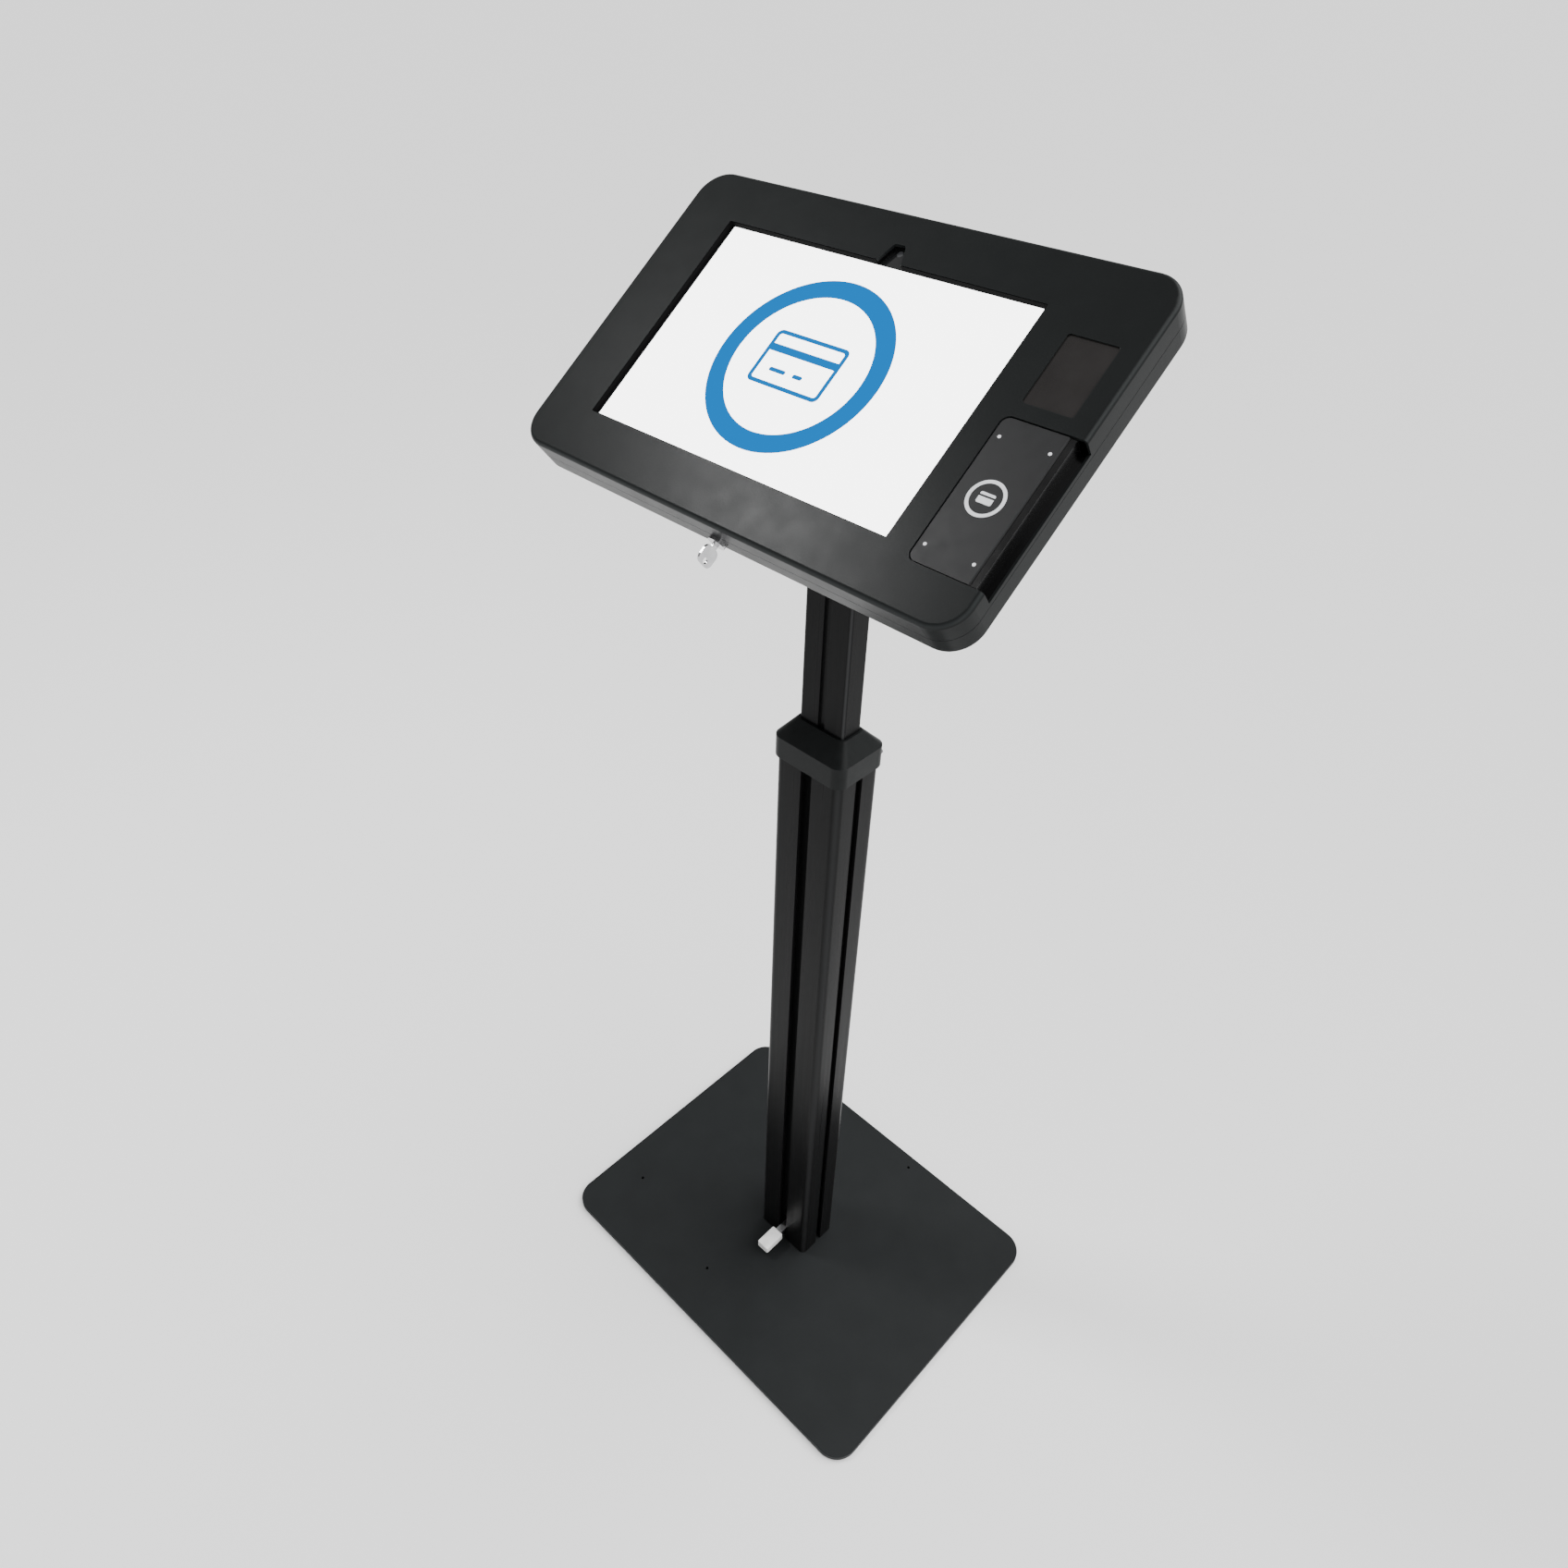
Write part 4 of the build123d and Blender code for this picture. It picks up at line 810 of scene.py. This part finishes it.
@dataclass
class Mast(Assembly):
    """The inner extrusion, its shoe and plug, and the fixed half of the tilt hinge."""

    parts: dict[str, str] = field(
        default_factory=lambda: {
            "inner_column": "mast_anodised",
            "column_shoe": "glide_plastic",
            "column_plug": "plug_aluminium",
            "tilt_yoke": "hinge_paint",
            "yoke_screws": "screw_steel",
        }
    )


@dataclass
class Lift(Assembly):
    """The gas spring and the pedal that lets it go."""

    parts: dict[str, str] = field(
        default_factory=lambda: {
            "pedal_bracket": "bracket_steel",
            "pedal_pin": "screw_steel",
            "gas_spring_rod": "rod_chrome",
            "rod_nut": "screw_steel",
            "pedal_lever": "pedal_steel",
            "pedal_sleeve": "pedal_sleeve",
            "release_pin": "rod_chrome",
            "gas_spring_tube": "spring_paint",
            "spring_pin": "screw_steel",
        }
    )


@dataclass
class TiltHinge(Assembly):
    """The moving half of the tilt hinge with its bolt and knob."""

    parts: dict[str, str] = field(
        default_factory=lambda: {
            "tilt_bracket": "hinge_paint",
            "bracket_screws": "screw_steel",
            "bracket_nuts": "screw_steel",
            "tilt_washers": "glide_plastic",
            "tilt_bolt": "screw_steel",
            "tilt_knob": "knob_plastic",
        }
    )


@dataclass
class Housing(Assembly):
    """The rear shell, its cable grommet and the tablet's corner brackets."""

    parts: dict[str, str] = field(
        default_factory=lambda: {
            "rear_housing": "housing_paint",
            "cable_grommet": "foot_rubber",
            "tablet_brackets": "bracket_plastic",
            "housing_knuckles": "hinge_paint",
            "hinge_pins": "screw_steel",
        }
    )


@dataclass
class Tablet(Assembly):
    """The tablet and the picture that it shows."""

    parts: dict[str, str] = field(
        default_factory=lambda: {
            "tablet_body": "tablet_shell",
            "tablet_glass": "tablet_glass",
            "camera_lens": "lens_glass",
        }
    )
    glass: float = -4.5
    film: float = 0.02
    sheet_thickness: float = 0.05
    sheet_corner: float = 0.6
    middle: Point2 = (-10.7, -0.45)
    width: float = 261.0
    height: float = 166.7
    ink: Point2 = (0.03, 0.09)
    ring_centre: Point2 = (-16.3, -0.2)
    ring_outer: float = 66.0
    ring_inner: float = 52.5
    card_width: float = 62.0
    card_height: float = 41.0
    card_line: float = 3.0
    card_corners: Point2 = (4.5, 2.0)
    stripe_height: float = 5.5
    stripe_rise: float = 0.17
    stripe_corner: float = 0.2
    stripe_inset: float = 4.0
    dashes: tuple[Point2, ...] = ((-11.5, 14.0), (6.0, 8.0))
    dash_height: float = 3.0
    dash_corner: float = 1.4
    dash_drop: float = 0.2

    def build(self) -> None:
        """Makes the lit picture: a white sheet, a ring and a payment card."""
        base = self.glass + self.film
        outline = rounded_outline(self.width, self.height, self.sheet_corner, self.middle)
        sheet = self.shop.sheet(outline, base, base + self.sheet_thickness)
        self.place("display_sheet", sheet, "display_white")
        levels = (base + self.ink[0], base + self.ink[1])
        band = self.shop.band(
            ring_outline(self.ring_outer, self.ring_centre),
            ring_outline(self.ring_inner, self.ring_centre),
            *levels,
        )
        self.place("display_ring", band, "display_blue")
        self.card(levels)

    def card(self, levels: Point2) -> None:
        """Draws the payment card.

        Args:
            levels: The lower and upper face of what is drawn.
        """
        width, height = self.card_width, self.card_height
        x, y = self.ring_centre
        outer, inner = self.card_corners
        inset = 2 * self.card_line
        border = self.shop.band(
            rounded_outline(width, height, outer, (x, y)),
            rounded_outline(width - inset, height - inset, inner, (x, y)),
            *levels,
        )
        self.place("display_card", border, "display_blue")
        stripe = rounded_outline(
            width - self.stripe_inset,
            self.stripe_height,
            self.stripe_corner,
            (x, y + height * self.stripe_rise),
        )
        self.place("display_card_stripe", self.shop.sheet(stripe, *levels), "display_blue")
        for number, (shift, length) in enumerate(self.dashes, start=1):
            place = (x + shift, y - height * self.dash_drop)
            dash = rounded_outline(length, self.dash_height, self.dash_corner, place)
            piece = self.shop.sheet(dash, *levels)
            self.place(f"display_card_line_{number}", piece, "display_blue")

    def place(self, name: str, mesh: bmesh.types.BMesh, finish: str) -> None:
        """Puts one layer of the picture on the glass."""
        self.shop.fit(name, mesh, self.shop.board, Body.HEAD, finish, "tablet_glass")


@dataclass
class FrontCover(Assembly):
    """The hinged cover with its gasket, scanner window and catch."""

    parts: dict[str, str] = field(
        default_factory=lambda: {
            "front_cover": "cover_paint",
            "screen_gasket": "gasket_foam_and_shade",
            "scanner_window": "window_acrylic",
            "scanner_module": "module_plastic",
            "cover_catch": "bracket_steel",
            "cover_knuckles": "hinge_paint",
        }
    )
    opening: Point2 = (262.9, 166.9)
    opening_middle: Point2 = (-12.0, 0.0)
    opening_corner: float = 1.0
    notch_half: float = 10.2
    shade_strip: float = 0.45
    shade_strip_depth: Point2 = (-4.1, -0.2)

    def build(self) -> None:
        """Lays a near-black strip of painted shade in the display opening, up to the camera
        notch.
        """
        outline = rounded_outline(*self.opening, self.opening_corner, self.opening_middle)
        corner = len(outline) // 4
        top = self.opening[1] / 2
        start = (-self.notch_half, top)
        end = (self.notch_half, top)
        path = [start, *outline[corner:], *outline[:corner], end]
        # The strip covers the opening's walls as painted shade.
        strip = self.shop.strip(path, self.shade_strip, *self.shade_strip_depth)
        self.shop.fit(
            "screen_shade_strip", strip, self.shop.board, Body.COVER, "gasket_foam_and_shade", "foot_rubber"
        )


@dataclass
class CardReader(Assembly):
    """The reader's pad, lamps, symbol and swipe channel."""

    parts: dict[str, str] = field(
        default_factory=lambda: {
            "reader_pad": "pad_plastic",
            "reader_leds": "indicator_white",
            "reader_symbol": "symbol_white",
            "reader_body": "module_plastic",
            "reader_screws": "screw_steel",
            "reader_rail": "rail_plastic",
        }
    )


@dataclass
class CamLock(Assembly):
    """The lock in the lower wall and its key."""

    parts: dict[str, str] = field(
        default_factory=lambda: {
            "lock_barrel": "lock_chrome",
            "lock_nut": "lock_chrome",
            "lock_plug": "lock_chrome",
            "lock_cam": "screw_steel",
            "cam_nut": "screw_steel",
            "door_key": "lock_chrome",
        }
    )


# Studio


@dataclass(frozen=True)
class Lamp:
    """A soft rectangular light aimed at a point."""

    name: str
    place: Point3
    aim: Point3
    size: Point2
    power: float

    def hang(self) -> None:
        """Puts the light in the room."""
        data = bpy.data.lights.new(self.name, "AREA")
        data.shape = "RECTANGLE"
        data.size, data.size_y = self.size
        data.energy = self.power
        lamp = bpy.data.objects.new(self.name, data)
        lamp.location = self.place
        toward = Vector(self.aim) - Vector(self.place)
        lamp.rotation_euler = toward.to_track_quat("-Z", "Y").to_euler()
        bpy.context.scene.collection.objects.link(lamp)


@dataclass
class Studio:
    """The pale floor, the lights and the camera."""

    floor_half: float = 40.0
    floor_colour: Colour = (0.94, 0.94, 0.94)
    floor_grain: float = 300.0
    floor_shares: Point2 = (0.995, 1.0)
    floor_roughness: float = 0.9
    floor_gloss: float = 0.1
    sky: float = 0.42
    eye: Point3 = (0.473779, -0.568941, 1.2824)
    azimuth: float = 42.524
    elevation: float = 38.586
    roll: float = 2.141
    lens: float = 25.709
    sensor: float = 36.0
    sight: float = 200.0
    lamps: tuple[Lamp, ...] = (
        Lamp("overhead", (-1.14, -0.60, 2.40), (0.05, -0.12, 0.99), (0.35, 0.3), 25.0),
        Lamp("side", (2.6, -1.6, 1.4), (0.0, 0.0, 0.6), (0.8, 2.2), 16.0),
    )
    daylight: float = 4.6
    daylight_spread: float = 70.0
    daylight_from: Point3 = (0.75, 0.75, 1.6)

    def build(self) -> None:
        """Lays the floor and hangs the lights."""
        mesh = bmesh.new()
        half = self.floor_half
        corners = [(-half, -half, 0), (half, -half, 0), (half, half, 0), (-half, half, 0)]
        mesh.faces.new([mesh.verts.new(corner) for corner in corners])
        data = bpy.data.meshes.new("floor")
        mesh.to_mesh(data)
        mesh.free()
        floor = bpy.data.objects.new("floor", data)
        bpy.context.scene.collection.objects.link(floor)
        data.materials.append(self.floor_finish())
        for lamp in self.lamps:
            lamp.hang()
        self.open_window()
        world = bpy.data.worlds.new("soft room")
        world.use_nodes = True
        back = world.node_tree.nodes["Background"]
        back.inputs["Color"].default_value = (1.0, 1.0, 1.0, 1.0)
        back.inputs["Strength"].default_value = self.sky
        bpy.context.scene.world = world

    def open_window(self) -> None:
        """Lets in broad, soft daylight from behind and above."""
        data = bpy.data.lights.new("daylight", "SUN")
        data.energy = self.daylight
        data.angle = math.radians(self.daylight_spread)
        window = bpy.data.objects.new("daylight", data)
        inward = -Vector(self.daylight_from)
        window.rotation_euler = inward.to_track_quat("-Z", "Y").to_euler()
        bpy.context.scene.collection.objects.link(window)

    def floor_finish(self) -> bpy.types.Material:
        """A plain matt floor.

        Returns:
            The floor's material.
        """
        recipe = Recipe("floor_matt")
        cloud = recipe.grain(self.floor_grain, detail=2.0)
        shade = recipe.drift(cloud, self.floor_colour, self.floor_shares)
        recipe.feed(shade, "Base Color")
        recipe.fix({"Roughness": self.floor_roughness, "Specular IOR Level": self.floor_gloss})
        return recipe.material

    def aim(self) -> None:
        """Sets up the camera."""
        turn, rise, lean = (math.radians(v) for v in (self.azimuth, self.elevation, self.roll))
        ahead = Vector(
            (-math.sin(turn) * math.cos(rise), math.cos(turn) * math.cos(rise), -math.sin(rise))
        )
        right = ahead.cross(Vector((0.0, 0.0, 1.0))).normalized()
        above = right.cross(ahead)
        leaned_right = right * math.cos(lean) + above * math.sin(lean)
        leaned_up = above * math.cos(lean) - right * math.sin(lean)
        data = bpy.data.cameras.new("camera")
        data.lens = self.lens
        data.sensor_width = self.sensor
        data.clip_end = self.sight
        camera = bpy.data.objects.new("camera", data)
        basis = Matrix((leaned_right, leaned_up, -ahead)).transposed().to_4x4()
        camera.matrix_world = Matrix.Translation(Vector(self.eye)) @ basis
        bpy.context.scene.collection.objects.link(camera)
        bpy.context.scene.camera = camera


def make_materials() -> dict[str, bpy.types.Material]:
    """Mixes every finish once.

    Returns:
        The materials by name.
    """
    return {finish.name: finish.make() for finish in FINISHES}


def main() -> None:
    """Builds the terminal and its room."""
    logging.basicConfig(level=logging.INFO, format="%(message)s")
    shop = Workshop(find_panel(), make_materials())
    order = (
        FloorPlate,
        LowerColumn,
        Lift,
        Mast,
        TiltHinge,
        Housing,
        Tablet,
        FrontCover,
        CardReader,
        CamLock,
    )
    for kind in order:
        assembly = kind(shop)
        assembly.build()
        assembly.dress()
    studio = Studio()
    studio.build()
    studio.aim()
    log.info("%d extra pieces made", len(shop.made))


if __name__ == "__main__":
    main()
